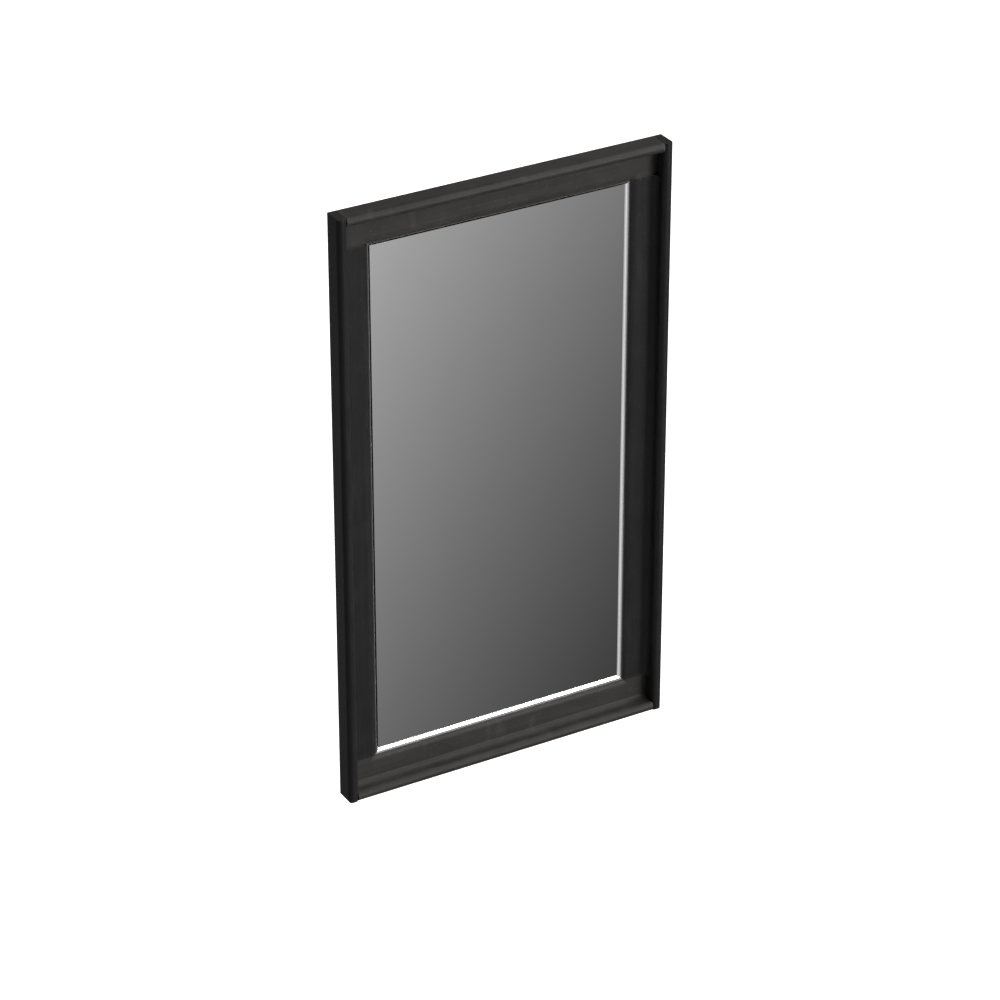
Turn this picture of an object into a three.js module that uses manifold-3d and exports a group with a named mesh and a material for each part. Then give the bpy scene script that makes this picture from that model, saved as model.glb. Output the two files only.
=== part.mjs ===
// A portrait wall mirror. Four outer boards with rounded front edges stand round a moulded inner
// frame of two rails and two stiles. A polished slip borders the mirror glass, a screwed board
// closes the back, and two strap hangers with swinging rings carry it on the wall.
//
// Millimetres. The origin is the centre of the back, on the plane that faces the wall. +X is to
// the viewer's right, +Y goes towards the wall, so the front looks along -Y, and +Z is up.

import * as THREE from 'three';
import { mergeVertices } from 'three/addons/utils/BufferGeometryUtils.js';
import Module from 'manifold-3d';

const wasm = await Module();
wasm.setup();

// ---- Overall size ----------------------------------------------------------------------------
const WIDTH = 609.6;
const HEIGHT = 1066.8;
const DEPTH = 38.1;

// ---- Outer boards ----------------------------------------------------------------------------
const BOARD_THICKNESS = 15.4;
const NOSING_DEPTH = 4.5; // how far back the rounded front edge reaches
const NOSING_POWER = 2.6; // 2 is a plain ellipse, more is squarer
const GLUE_LINE = 0.2; // gap left between wooden members where they are glued

// ---- Inner frame: across the face, from the outer board to the opening -----------------------
const COVE_WIDTH = 8.2;
const COVE_LAND = 0.6; // flat edge at the top of the cove
const COVE_EXIT_TILT = THREE.MathUtils.degToRad(25); // slope where the cove meets the flat
const FLAT_WIDTH = 27.4;
const STICKING_WIDTH = 11.0; // the rounded moulding along the opening
const STICKING_DROP = 3.9;
const FACE_THICKNESS = 13.5; // back of the frame to the flat

// ---- What the frame holds --------------------------------------------------------------------
const BACKING_THICKNESS = 2.5;
const GLASS_THICKNESS = 3.0;
const SEAT_GAP = 0.15; // between backing, glass, slip and frame
const BACKING_LAP = 16.0; // how far the backing recess reaches under the frame
const GLASS_LAP = 8.0; // how far the glass recess reaches under the frame
const BACKING_EDGE_GAP = 0.5;
const BACKING_CORNER_RADIUS = 3.0;
const GLASS_EDGE_GAP = 1.2;
const GLASS_ARRIS = 0.4;
const GLASS_CORNER_RADIUS = 1.5;

// ---- Polished slip round the glass -----------------------------------------------------------
const SLIP_SIGHT_WIDTH = 8.3;
const SLIP_FLAT_WIDTH = 3.3;
const SLIP_FLAT_FALL = 0.1;
const SLIP_FLANGE_THICKNESS = 1.4;
const SLIP_FRONT_EDGE = 0.35; // blunt edge that rests on the glass
const SLIP_SIDE_GAP = 0.3;
const MITRE_GAP = 0.1;

// ---- Dowels ----------------------------------------------------------------------------------
const DOWEL_DIAMETER = 6;
const DOWEL_LENGTH = 30;
const DOWEL_CHAMFER = 1;
const DOWEL_CLEARANCE = 0.3;
const CORNER_DOWEL_BITE = 10; // length inside the full-height board
const CORNER_DOWEL_HEIGHTS = [10, 24]; // above the back plane
const FRAME_DOWEL_INSETS = [8.6, 24.6]; // in from the outer board

// ---- Screws ----------------------------------------------------------------------------------
const SCREW_CLEARANCE = 0.3;
const BACKING_SCREW = { headDiameter: 5.2, headDepth: 1.6, shankDiameter: 2.6, length: 9.5, point: 2.5 };
const BACKING_SCREW_INSET = 4.0; // in from the edge of the backing recess
const SIDE_SCREW_COUNT = 4;
const SIDE_SCREW_END_MARGIN = 67; // in from the end of the backing recess
const END_SCREW_COUNT = 3;
const END_SCREW_END_MARGIN = 109;
const HANGER_SCREW = { headDiameter: 6.0, headDepth: 1.9, shankDiameter: 3.0, length: 10, point: 2.8 };

// ---- Strap hangers and wall bumpers ----------------------------------------------------------
const HANGER_INSET = 30.7; // centre line of the strap, in from the side of the mirror
const HANGER_DROP = 230; // ring axis below the top of the mirror
const STRAP_WIDTH = 13;
const STRAP_THICKNESS = 1.0;
const STRAP_LENGTH = 36;
const STRAP_CURL = THREE.MathUtils.degToRad(300);
const STRAP_HOLE_DROPS = [9.4, 28];
const EYE_CLEARANCE = 0.3;
const WIRE_DIAMETER = 2.4;
const RING_HALF_WIDTH = 10.5;
const RING_CORNER_RADIUS = 3.5;
const RING_SIDE_LENGTH = 3;
const WIRE_END_GAP = 0.4; // the ring's butt joint, hidden in the eye
const BUMPER_DIAMETER = 14;
const BUMPER_FACE_DIAMETER = 11;
const BUMPER_HEIGHT = 5.6;
const BUMPER_RISE = 40; // centre above the bottom of the mirror

// ---- Facets ----------------------------------------------------------------------------------
const NOSING_STEPS = 32;
const ARC_STEPS = 8;
const GLASS_CORNER_STEPS = 2;
const BACKING_CORNER_STEPS = 3;
const FASTENER_SIDES = 12;
const BUMPER_SIDES = 24;
const STRAP_ARC_STEPS = 12;
const WIRE_SIDES = 10;
const WIRE_STEPS = 48;
const WELD_DISTANCE = 1e-4; // vertices nearer to each other than this are one

// ---- Derived places --------------------------------------------------------------------------
// Across: u is the distance in from the outside of the mirror. Depth: t is the height above the
// back plane. World y is -t.
const MEMBER_EDGE = BOARD_THICKNESS + GLUE_LINE;
const FLAT_START = BOARD_THICKNESS + COVE_WIDTH;
const STICKING_START = FLAT_START + FLAT_WIDTH;
const SIGHT_EDGE = STICKING_START + STICKING_WIDTH;
const SIGHT_EDGE_TOP = FACE_THICKNESS - STICKING_DROP;
const BACKING_EDGE = SIGHT_EDGE - BACKING_LAP;
const GLASS_EDGE = SIGHT_EDGE - GLASS_LAP;
const BACKING_SEAT = BACKING_THICKNESS + SEAT_GAP;
const GLASS_BACK = BACKING_SEAT;
const GLASS_FRONT = GLASS_BACK + GLASS_THICKNESS;
const SLIP_BACK = GLASS_FRONT + SEAT_GAP;
const SLIP_SEAT = SLIP_BACK + SLIP_FLANGE_THICKNESS + SEAT_GAP;
const EYE_RADIUS = WIRE_DIAMETER / 2 + EYE_CLEARANCE;
const EYE_OUTER_RADIUS = EYE_RADIUS + STRAP_THICKNESS;
const BREAKOUT = 1; // how far a cutting tool passes the surface it opens
const MITRE_OVERCUT = 0.02; // how far the moulding cutters pass each other at the corners

// ---- Finishes --------------------------------------------------------------------------------
function finish(color, roughness, metalness = 0) {
  return () => new THREE.MeshStandardMaterial({ color, roughness, metalness });
}

const stileFinish = finish(0x2b2a2b, 0.45);
const railFinish = finish(0x3d3b3a, 0.42);
const polishedMetal = finish(0xe4e6e8, 0.06, 1);
const silveredGlass = finish(0xdfe3e6, 0.02, 1);
const hardboard = finish(0x6b4a30, 0.85);
const beech = finish(0xc9a26e, 0.7);
const zincSteel = finish(0xb9bcc0, 0.35, 1);
const rubber = finish(0x1c1c1d, 0.8);

// ---- Solids: a piece is cut or trimmed in its own local frame --------------------------------
function solidFrom(geometry) {
  const bare = geometry.clone();
  bare.deleteAttribute('normal');
  bare.deleteAttribute('uv');
  const merged = mergeVertices(bare, WELD_DISTANCE);
  return new wasm.Manifold(new wasm.Mesh({
    numProp: 3,
    vertProperties: new Float32Array(merged.attributes.position.array),
    triVerts: new Uint32Array(merged.index.array),
  }));
}

function geometryFrom(solid) {
  const mesh = solid.getMesh();
  const geometry = new THREE.BufferGeometry();
  geometry.setAttribute('position', new THREE.BufferAttribute(mesh.vertProperties, 3));
  geometry.setIndex(new THREE.BufferAttribute(mesh.triVerts, 1));
  geometry.computeVertexNormals();
  return geometry;
}

function inFrameOf(piece, tool) {
  piece.updateWorldMatrix(true, false);
  tool.updateWorldMatrix(true, false);
  const toLocal = piece.matrixWorld.clone().invert().multiply(tool.matrixWorld);
  return solidFrom(tool.geometry.clone().applyMatrix4(toLocal));
}

function carve(piece, tools) {
  let solid = solidFrom(piece.geometry);
  for (const tool of tools) {
    solid = solid.subtract(inFrameOf(piece, tool));
  }
  piece.geometry = geometryFrom(solid);
}

function trimTo(piece, outline) {
  piece.geometry = geometryFrom(solidFrom(piece.geometry).intersect(inFrameOf(piece, outline)));
}

function add(parent, name, geometry, material) {
  const mesh = new THREE.Mesh(geometry, material());
  mesh.name = name;
  parent.add(mesh);
  return mesh;
}

// ---- Sections: drawn with x = u and y = -t ---------------------------------------------------
function sectionFrom(points) {
  return new THREE.Shape(points.map(([u, t]) => new THREE.Vector2(u, -t)));
}

function nosingPoints() {
  const half = BOARD_THICKNESS / 2;
  const points = [];
  for (let i = 0; i <= NOSING_STEPS; i += 1) {
    const angle = Math.PI * (1 - i / NOSING_STEPS);
    const across = Math.sign(Math.cos(angle)) * Math.abs(Math.cos(angle)) ** (2 / NOSING_POWER);
    const up = Math.abs(Math.sin(angle)) ** (2 / NOSING_POWER);
    points.push([half * (1 + across), DEPTH - NOSING_DEPTH * (1 - up)]);
  }
  return points;
}

function boardSection() {
  return sectionFrom([[0, 0], ...nosingPoints(), [BOARD_THICKNESS, 0]]);
}

// An arc that leaves the tilt `from` and turns to the tilt `to`, both measured from the flat face,
// while it goes from one end to the other. `across` is the distance that it covers along the face.
function fallingArc(startU, startT, across, from, to) {
  const radius = across / (Math.sin(to) - Math.sin(from));
  const points = [];
  for (let i = 0; i <= ARC_STEPS; i += 1) {
    const tilt = from + ((to - from) * i) / ARC_STEPS;
    const u = startU + radius * (Math.sin(tilt) - Math.sin(from));
    const t = startT - radius * (Math.cos(from) - Math.cos(tilt));
    points.push([u, t]);
  }
  return points;
}

function tiltOfFall(across, fall) {
  return 2 * Math.atan2(fall, across);
}

function covePoints() {
  const start = MEMBER_EDGE + COVE_LAND;
  const across = FLAT_START - start;
  const wall = Math.PI / 2;
  const radius = across / (1 - Math.sin(COVE_EXIT_TILT));
  const top = FACE_THICKNESS + radius * Math.cos(COVE_EXIT_TILT);
  const points = [];
  for (let i = 0; i <= ARC_STEPS; i += 1) {
    const tilt = wall - ((wall - COVE_EXIT_TILT) * i) / ARC_STEPS;
    points.push([start + radius * (1 - Math.sin(tilt)), top - radius * Math.cos(tilt)]);
  }
  return points;
}

function stickingPoints() {
  const steepest = tiltOfFall(STICKING_WIDTH, STICKING_DROP);
  return fallingArc(STICKING_START, FACE_THICKNESS, STICKING_WIDTH, 0, steepest);
}

function stileSection() {
  const cove = covePoints();
  return sectionFrom([
    [MEMBER_EDGE, 0],
    [MEMBER_EDGE, cove[0][1]],
    ...cove,
    ...stickingPoints(),
    [SIGHT_EDGE, SLIP_SEAT],
    [GLASS_EDGE, SLIP_SEAT],
    [GLASS_EDGE, BACKING_SEAT],
    [BACKING_EDGE, BACKING_SEAT],
    [BACKING_EDGE, 0],
  ]);
}

function railSection() {
  const cove = covePoints();
  return sectionFrom([
    [MEMBER_EDGE, 0],
    [MEMBER_EDGE, cove[0][1]],
    ...cove,
    [SIGHT_EDGE, FACE_THICKNESS],
    [SIGHT_EDGE, 0],
  ]);
}

function stickingCutterSection() {
  return sectionFrom([
    ...stickingPoints(),
    [SIGHT_EDGE + BREAKOUT, SIGHT_EDGE_TOP],
    [SIGHT_EDGE + BREAKOUT, FACE_THICKNESS + BREAKOUT],
    [STICKING_START, FACE_THICKNESS + BREAKOUT],
  ]);
}

function slipSection() {
  const start = SIGHT_EDGE + SLIP_SIDE_GAP;
  const shoulder = start + SLIP_FLAT_WIDTH;
  const end = SIGHT_EDGE + SLIP_SIGHT_WIDTH;
  const shoulderTop = SIGHT_EDGE_TOP - SLIP_FLAT_FALL;
  const fall = shoulderTop - SLIP_BACK - SLIP_FRONT_EDGE;
  const steepest = tiltOfFall(end - shoulder, fall);
  return sectionFrom([
    [GLASS_EDGE + SLIP_SIDE_GAP, SLIP_BACK],
    [GLASS_EDGE + SLIP_SIDE_GAP, SLIP_BACK + SLIP_FLANGE_THICKNESS],
    [start, SLIP_BACK + SLIP_FLANGE_THICKNESS],
    [start, SIGHT_EDGE_TOP],
    ...fallingArc(shoulder, shoulderTop, end - shoulder, 0, steepest),
    [end, SLIP_BACK],
  ]);
}

// ---- Straight members. A side's section faces its own edge of the mirror ---------------------
// `inward` is +1 where u grows along +x before the member is turned to its place.
const SIDES = {
  left: { inward: 1, turn: 0, x: -WIDTH / 2, z: 0, span: HEIGHT },
  right: { inward: -1, turn: 0, x: WIDTH / 2, z: 0, span: HEIGHT },
  top: { inward: 1, turn: Math.PI / 2, x: 0, z: HEIGHT / 2, span: WIDTH },
  bottom: { inward: -1, turn: Math.PI / 2, x: 0, z: -HEIGHT / 2, span: WIDTH },
};

function facing(section, inward) {
  if (inward > 0) return section;
  return new THREE.Shape(section.getPoints().map((p) => new THREE.Vector2(-p.x, p.y)));
}

function seatOnSide(mesh, side) {
  mesh.position.set(side.x, 0, side.z);
  mesh.rotation.y = side.turn;
  return mesh;
}

function straightMember(section, side, length) {
  const geometry = new THREE.ExtrudeGeometry(facing(section, side.inward), {
    depth: length,
    bevelEnabled: false,
  });
  return geometry.translate(0, 0, -length / 2);
}

// The ends of a mitred member follow the corner's diagonal: a point that lies u in from its own
// side also lies u in from the side next to it.
function mitredMember(section, side, gap) {
  const geometry = straightMember(section, side, side.span);
  const position = geometry.attributes.position;
  for (let i = 0; i < position.count; i += 1) {
    const reach = side.span / 2 - Math.abs(position.getX(i)) - gap;
    position.setZ(i, Math.sign(position.getZ(i)) * reach);
  }
  return geometry;
}

// ---- Round pieces ----------------------------------------------------------------------------
function revolved(profile, sides = FASTENER_SIDES) {
  return new THREE.LatheGeometry(profile.map(([r, y]) => new THREE.Vector2(r, y)), sides);
}

function dowelShape(clearance) {
  const radius = DOWEL_DIAMETER / 2 + clearance;
  const half = DOWEL_LENGTH / 2 + clearance;
  return revolved([
    [0, -half],
    [radius - DOWEL_CHAMFER, -half],
    [radius, -half + DOWEL_CHAMFER],
    [radius, half - DOWEL_CHAMFER],
    [radius - DOWEL_CHAMFER, half],
    [0, half],
  ]);
}

// A countersunk screw that enters along -Y, with the top of its head at y = 0.
function screwShape(screw) {
  return revolved([
    [0, -screw.length],
    [screw.shankDiameter / 2, -screw.length + screw.point],
    [screw.shankDiameter / 2, -screw.headDepth],
    [screw.headDiameter / 2, 0],
    [0, 0],
  ]);
}

function screwHoleShape(screw) {
  const shank = screw.shankDiameter / 2 + SCREW_CLEARANCE;
  const head = screw.headDiameter / 2 + SCREW_CLEARANCE;
  return revolved([
    [0, -screw.length - SCREW_CLEARANCE],
    [shank, -screw.length + screw.point],
    [shank, -screw.headDepth],
    [head, 0],
    [head, BREAKOUT],
    [0, BREAKOUT],
  ]);
}

function toolAt(piece, geometry) {
  const tool = new THREE.Mesh(geometry);
  tool.position.copy(piece.position);
  tool.rotation.copy(piece.rotation);
  if (piece.parent) {
    piece.parent.updateWorldMatrix(true, false);
    tool.applyMatrix4(piece.parent.matrixWorld);
  }
  return tool;
}

// ---- Assembly --------------------------------------------------------------------------------
const mirror = new THREE.Group();
mirror.name = 'wall_mirror';

const outerFrame = new THREE.Group();
const innerFrame = new THREE.Group();
const mirrorPanel = new THREE.Group();
const fasteners = new THREE.Group();
mirror.add(outerFrame, innerFrame, mirrorPanel, fasteners);

// Outer boards: the sides run the full height, and the top and bottom fit between them.
const outerBoards = {};
for (const [place, side] of Object.entries(SIDES)) {
  const between = side.turn === 0 ? 0 : 2 * MEMBER_EDGE;
  const geometry = straightMember(boardSection(), side, side.span - between);
  const board = add(outerFrame, `outer_${place}_board`, geometry, side.turn ? railFinish : stileFinish);
  outerBoards[place] = seatOnSide(board, side);
}

// Inner frame: the rails run the full width, and the stiles fit between them.
const innerMembers = {};
for (const place of ['top', 'bottom']) {
  const side = SIDES[place];
  const geometry = straightMember(railSection(), side, side.span - 2 * MEMBER_EDGE);
  innerMembers[place] = seatOnSide(add(innerFrame, `inner_${place}_rail`, geometry, railFinish), side);
}
for (const place of ['left', 'right']) {
  const side = SIDES[place];
  const length = side.span - 2 * (SIGHT_EDGE + GLUE_LINE);
  const geometry = straightMember(stileSection(), side, length);
  innerMembers[place] = seatOnSide(add(innerFrame, `inner_${place}_stile`, geometry, stileFinish), side);
}

// The moulding and the recesses run round the opening, so the rails are cut along it only.
function recess(edge, depth) {
  const geometry = new THREE.BoxGeometry(WIDTH - 2 * edge, depth + BREAKOUT, HEIGHT - 2 * edge);
  return new THREE.Mesh(geometry.translate(0, (BREAKOUT - depth) / 2, 0));
}

function stickingCutter(place) {
  const side = SIDES[place];
  return seatOnSide(new THREE.Mesh(mitredMember(stickingCutterSection(), side, -MITRE_OVERCUT)), side);
}

const backRecesses = [recess(BACKING_EDGE, BACKING_SEAT), recess(GLASS_EDGE, SLIP_SEAT)];
for (const place of ['top', 'bottom']) {
  const moulding = [place, 'left', 'right'].map(stickingCutter);
  carve(innerMembers[place], [...backRecesses, ...moulding]);
}

// Polished slip, mirror glass and backing board.
for (const [place, side] of Object.entries(SIDES)) {
  const geometry = mitredMember(slipSection(), side, MITRE_GAP);
  seatOnSide(add(mirrorPanel, `${place}_slip`, geometry, polishedMetal), side);
}

function pane(width, height, cornerRadius) {
  const x = width / 2;
  const z = height / 2;
  const shape = new THREE.Shape();
  shape.absarc(x - cornerRadius, z - cornerRadius, cornerRadius, 0, Math.PI / 2);
  shape.absarc(-x + cornerRadius, z - cornerRadius, cornerRadius, Math.PI / 2, Math.PI);
  shape.absarc(-x + cornerRadius, -z + cornerRadius, cornerRadius, Math.PI, 1.5 * Math.PI);
  shape.absarc(x - cornerRadius, -z + cornerRadius, cornerRadius, 1.5 * Math.PI, 2 * Math.PI);
  return shape;
}

const glassMargin = GLASS_EDGE + GLASS_EDGE_GAP;
const glassOutline = pane(
  WIDTH - 2 * glassMargin,
  HEIGHT - 2 * glassMargin,
  GLASS_CORNER_RADIUS,
);
const glassGeometry = new THREE.ExtrudeGeometry(glassOutline, {
  depth: GLASS_THICKNESS - 2 * GLASS_ARRIS,
  bevelThickness: GLASS_ARRIS,
  bevelSize: GLASS_ARRIS,
  bevelOffset: -GLASS_ARRIS,
  bevelSegments: 1,
  curveSegments: GLASS_CORNER_STEPS,
});
glassGeometry.translate(0, 0, GLASS_ARRIS + GLASS_BACK);
const glass = add(mirrorPanel, 'mirror_glass', glassGeometry, silveredGlass);
glass.rotation.x = Math.PI / 2;

const backingMargin = BACKING_EDGE + BACKING_EDGE_GAP;
const backingOutline = pane(
  WIDTH - 2 * backingMargin,
  HEIGHT - 2 * backingMargin,
  BACKING_CORNER_RADIUS,
);
const backingGeometry = new THREE.ExtrudeGeometry(backingOutline, {
  depth: BACKING_THICKNESS,
  bevelEnabled: false,
  curveSegments: BACKING_CORNER_STEPS,
});
const backing = add(mirrorPanel, 'backing_board', backingGeometry, hardboard);
backing.rotation.x = Math.PI / 2;

// Dowels: two at each butt joint of the outer boards and of the inner frame.
const dowelHoles = [];

function addDowel(name, x, t, z, along) {
  const dowel = add(fasteners, name, dowelShape(0), beech);
  dowel.position.set(x, -t, z);
  if (along === 'x') dowel.rotation.z = Math.PI / 2;
  if (along === 'z') dowel.rotation.x = Math.PI / 2;
  dowelHoles.push(toolAt(dowel, dowelShape(DOWEL_CLEARANCE)));
}

for (const [edge, up] of [['top', 1], ['bottom', -1]]) {
  for (const [hand, across] of [['left', -1], ['right', 1]]) {
    const cornerX = WIDTH / 2 - BOARD_THICKNESS + CORNER_DOWEL_BITE - DOWEL_LENGTH / 2;
    const cornerZ = (HEIGHT - BOARD_THICKNESS) / 2;
    CORNER_DOWEL_HEIGHTS.forEach((t, i) => {
      addDowel(`corner_dowel_${edge}_${hand}_${i + 1}`, across * cornerX, t, up * cornerZ, 'x');
    });
    const jointZ = HEIGHT / 2 - SIGHT_EDGE - GLUE_LINE / 2;
    FRAME_DOWEL_INSETS.forEach((inset, i) => {
      const x = WIDTH / 2 - BOARD_THICKNESS - inset;
      addDowel(`frame_dowel_${edge}_${hand}_${i + 1}`, across * x, FACE_THICKNESS / 2, up * jointZ, 'z');
    });
  }
}
for (const member of [...Object.values(outerBoards), ...Object.values(innerMembers)]) {
  carve(member, dowelHoles);
}

// Backing screws, evenly spaced along each edge of the board.
function spread(count, span, margin) {
  const reach = span / 2 - margin;
  return Array.from({ length: count }, (_, i) => -reach + (2 * reach * i) / (count - 1));
}

const screwLine = BACKING_EDGE + BACKING_SCREW_INSET;
const screwPlaces = [];
for (const z of spread(SIDE_SCREW_COUNT, HEIGHT - 2 * BACKING_EDGE, SIDE_SCREW_END_MARGIN)) {
  screwPlaces.push([-WIDTH / 2 + screwLine, z], [WIDTH / 2 - screwLine, z]);
}
for (const x of spread(END_SCREW_COUNT, WIDTH - 2 * BACKING_EDGE, END_SCREW_END_MARGIN)) {
  screwPlaces.push([x, HEIGHT / 2 - screwLine], [x, -HEIGHT / 2 + screwLine]);
}
const backingHoles = screwPlaces.map(([x, z], i) => {
  const name = `backing_screw_${String(i + 1).padStart(2, '0')}`;
  const screw = add(fasteners, name, screwShape(BACKING_SCREW), zincSteel);
  screw.position.set(x, 0, z);
  return toolAt(screw, screwHoleShape(BACKING_SCREW));
});
for (const member of [backing, ...Object.values(innerMembers)]) {
  carve(member, backingHoles);
}

// Strap hanger: a steel strap curled round the straight side of a wire ring. Its group sits on
// the back plane at the height of the ring's axis, and the ring hangs down from there.
function strapGeometry() {
  const shape = new THREE.Shape();
  const start = -Math.PI / 2;
  shape.moveTo(STRAP_LENGTH, 0);
  shape.lineTo(0, 0);
  shape.absarc(0, EYE_OUTER_RADIUS, EYE_OUTER_RADIUS, start, start - STRAP_CURL, true);
  shape.absarc(0, EYE_OUTER_RADIUS, EYE_RADIUS, start - STRAP_CURL, start, false);
  shape.lineTo(STRAP_LENGTH, STRAP_THICKNESS);
  const geometry = new THREE.ExtrudeGeometry(shape, {
    depth: STRAP_WIDTH,
    bevelEnabled: false,
    curveSegments: STRAP_ARC_STEPS,
  });
  return geometry.translate(0, 0, -STRAP_WIDTH / 2);
}

// The strap's plan: straight sides and a half-round lower end.
function strapPlan() {
  const half = STRAP_WIDTH / 2;
  const top = EYE_OUTER_RADIUS + BREAKOUT;
  const shape = new THREE.Shape();
  shape.moveTo(half, top);
  shape.lineTo(-half, top);
  shape.absarc(0, -STRAP_LENGTH + half, half, Math.PI, 2 * Math.PI);
  const depth = 2 * EYE_OUTER_RADIUS + 2 * BREAKOUT;
  const geometry = new THREE.ExtrudeGeometry(shape, {
    depth,
    bevelEnabled: false,
    curveSegments: STRAP_ARC_STEPS / 2,
  });
  return geometry.translate(0, 0, -depth + BREAKOUT);
}

// The ring's centre line: from the middle of its straight side, round the bow and back.
class RingLine extends THREE.Curve {
  constructor() {
    super();
    const half = RING_HALF_WIDTH;
    const corner = RING_CORNER_RADIUS;
    const bowCentre = -corner - RING_SIDE_LENGTH;
    this.path = new THREE.Path();
    this.path.moveTo(WIRE_END_GAP / 2, 0);
    this.path.lineTo(half - corner, 0);
    this.path.absarc(half - corner, -corner, corner, Math.PI / 2, 0, true);
    this.path.lineTo(half, bowCentre);
    this.path.absarc(0, bowCentre, half, 0, -Math.PI, true);
    this.path.lineTo(-half, -corner);
    this.path.absarc(-half + corner, -corner, corner, Math.PI, Math.PI / 2, true);
    this.path.lineTo(-WIRE_END_GAP / 2, 0);
  }

  getPoint(t, target = new THREE.Vector3()) {
    const point = this.path.getPoint(t);
    return target.set(point.x, 0, point.y);
  }
}

function ringGeometry() {
  const section = new THREE.Shape();
  section.absarc(0, 0, WIRE_DIAMETER / 2, 0, 2 * Math.PI);
  return new THREE.ExtrudeGeometry(section, {
    extrudePath: new RingLine(),
    steps: WIRE_STEPS,
    curveSegments: WIRE_SIDES / 2,
  });
}

for (const [hand, across] of [['left', -1], ['right', 1]]) {
  const hanger = new THREE.Group();
  hanger.position.set(across * (WIDTH / 2 - HANGER_INSET), 0, HEIGHT / 2 - HANGER_DROP);
  mirror.add(hanger);

  const strap = add(hanger, `hanger_strap_${hand}`, strapGeometry(), zincSteel);
  strap.rotation.y = Math.PI / 2;
  const plan = new THREE.Mesh(strapPlan());
  plan.rotation.x = Math.PI / 2;
  hanger.add(plan);
  trimTo(strap, plan);
  hanger.remove(plan);

  const ring = add(hanger, `hanger_ring_${hand}`, ringGeometry(), zincSteel);
  ring.position.y = EYE_OUTER_RADIUS;

  const holes = STRAP_HOLE_DROPS.map((drop, i) => {
    const level = ['upper', 'lower'][i];
    const screw = add(hanger, `hanger_screw_${hand}_${level}`, screwShape(HANGER_SCREW), zincSteel);
    screw.position.set(0, STRAP_THICKNESS, -drop);
    return toolAt(screw, screwHoleShape(HANGER_SCREW));
  });
  carve(strap, holes);
  carve(innerMembers[hand], holes);

  const bumperShape = revolved([
    [0, 0],
    [BUMPER_DIAMETER / 2, 0],
    [BUMPER_FACE_DIAMETER / 2, BUMPER_HEIGHT],
    [0, BUMPER_HEIGHT],
  ], BUMPER_SIDES);
  const bumper = add(mirror, `wall_bumper_${hand}`, bumperShape, rubber);
  bumper.position.set(across * (WIDTH / 2 - HANGER_INSET), 0, -HEIGHT / 2 + BUMPER_RISE);
}

export default mirror;
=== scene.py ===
import logging
import math
from dataclasses import dataclass, field
from enum import Enum
from typing import Sequence

import bmesh
import bpy
from bpy.types import Material, Node, NodeSocket, NodeTree, Object
from mathutils import Matrix, Vector


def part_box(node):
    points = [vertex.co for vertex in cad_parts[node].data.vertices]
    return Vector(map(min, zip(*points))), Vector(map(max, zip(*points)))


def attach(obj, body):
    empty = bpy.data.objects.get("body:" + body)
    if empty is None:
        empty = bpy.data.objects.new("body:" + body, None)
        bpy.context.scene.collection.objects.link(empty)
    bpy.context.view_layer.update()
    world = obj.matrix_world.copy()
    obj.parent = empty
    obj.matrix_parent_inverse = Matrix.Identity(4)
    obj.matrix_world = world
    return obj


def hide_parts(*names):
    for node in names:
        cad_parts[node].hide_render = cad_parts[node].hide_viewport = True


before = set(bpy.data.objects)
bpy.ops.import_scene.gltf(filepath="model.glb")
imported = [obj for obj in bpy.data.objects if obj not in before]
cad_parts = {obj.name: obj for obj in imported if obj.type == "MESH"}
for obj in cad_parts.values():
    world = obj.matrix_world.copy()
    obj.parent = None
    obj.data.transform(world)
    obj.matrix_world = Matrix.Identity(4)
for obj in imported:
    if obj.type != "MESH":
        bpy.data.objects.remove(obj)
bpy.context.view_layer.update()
FIXED_BODY = "frame"

log = logging.getLogger("wall_mirror")

Point = tuple[float, float]
Colour = tuple[float, float, float]
Direction = tuple[float, float, float]
Feed = NodeSocket | float | tuple | None
QUARTER = math.pi / 2
MERGE_DISTANCE = 1e-7
SHARP_ANGLE = 34.0
SHARP_CUT_ANGLE = 30.0
LARGE_FACES_FIRST = 100


# ---- Places -------------------------------------------------------------------------------------
class Side(Enum):
    """One side of the mirror, as the viewer sees it."""

    LEFT = "left"
    RIGHT = "right"
    TOP = "top"
    BOTTOM = "bottom"

    @property
    def upright(self) -> bool:
        """Whether the members on this side stand upright."""
        return self in (Side.LEFT, Side.RIGHT)


class Hand(Enum):
    """The two sides that carry the hanging hardware."""

    LEFT = "left"
    RIGHT = "right"


@dataclass(frozen=True)
class Envelope:
    """The mirror's outer size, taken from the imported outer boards."""

    half_width: float
    half_height: float
    depth: float

    @classmethod
    def from_frame(cls) -> "Envelope":
        """Reads the size from the left outer board, which runs the full height."""
        low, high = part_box("outer_left_board")
        return cls(half_width=-low.x, half_height=high.z, depth=-low.y)

    def place(self, side: Side, across: float, height: float, along: float) -> Vector:
        """Turns a point given from one side into a point of the frame.

        Args:
            side: the side that the point is measured from.
            across: distance in from the outside of the mirror.
            height: height above the back plane, towards the viewer.
            along: distance along the side, from its middle.

        Returns:
            The point in the mirror's own frame, in metres.
        """
        if side is Side.LEFT:
            return Vector((across - self.half_width, -height, along))
        if side is Side.RIGHT:
            return Vector((self.half_width - across, -height, along))
        if side is Side.TOP:
            return Vector((along, -height, self.half_height - across))
        return Vector((along, -height, across - self.half_height))

    def half_span(self, side: Side) -> float:
        """Half the outer length of one side."""
        return self.half_height if side.upright else self.half_width

    def axes(self, side: Side) -> tuple[Vector, Vector, Vector]:
        """The directions in which across, height and along grow on one side."""
        start = self.place(side, 0.0, 0.0, 0.0)
        return tuple(self.place(side, *step) - start for step in ((1, 0, 0), (0, 1, 0), (0, 0, 1)))


ENVELOPE = Envelope.from_frame()


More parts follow.
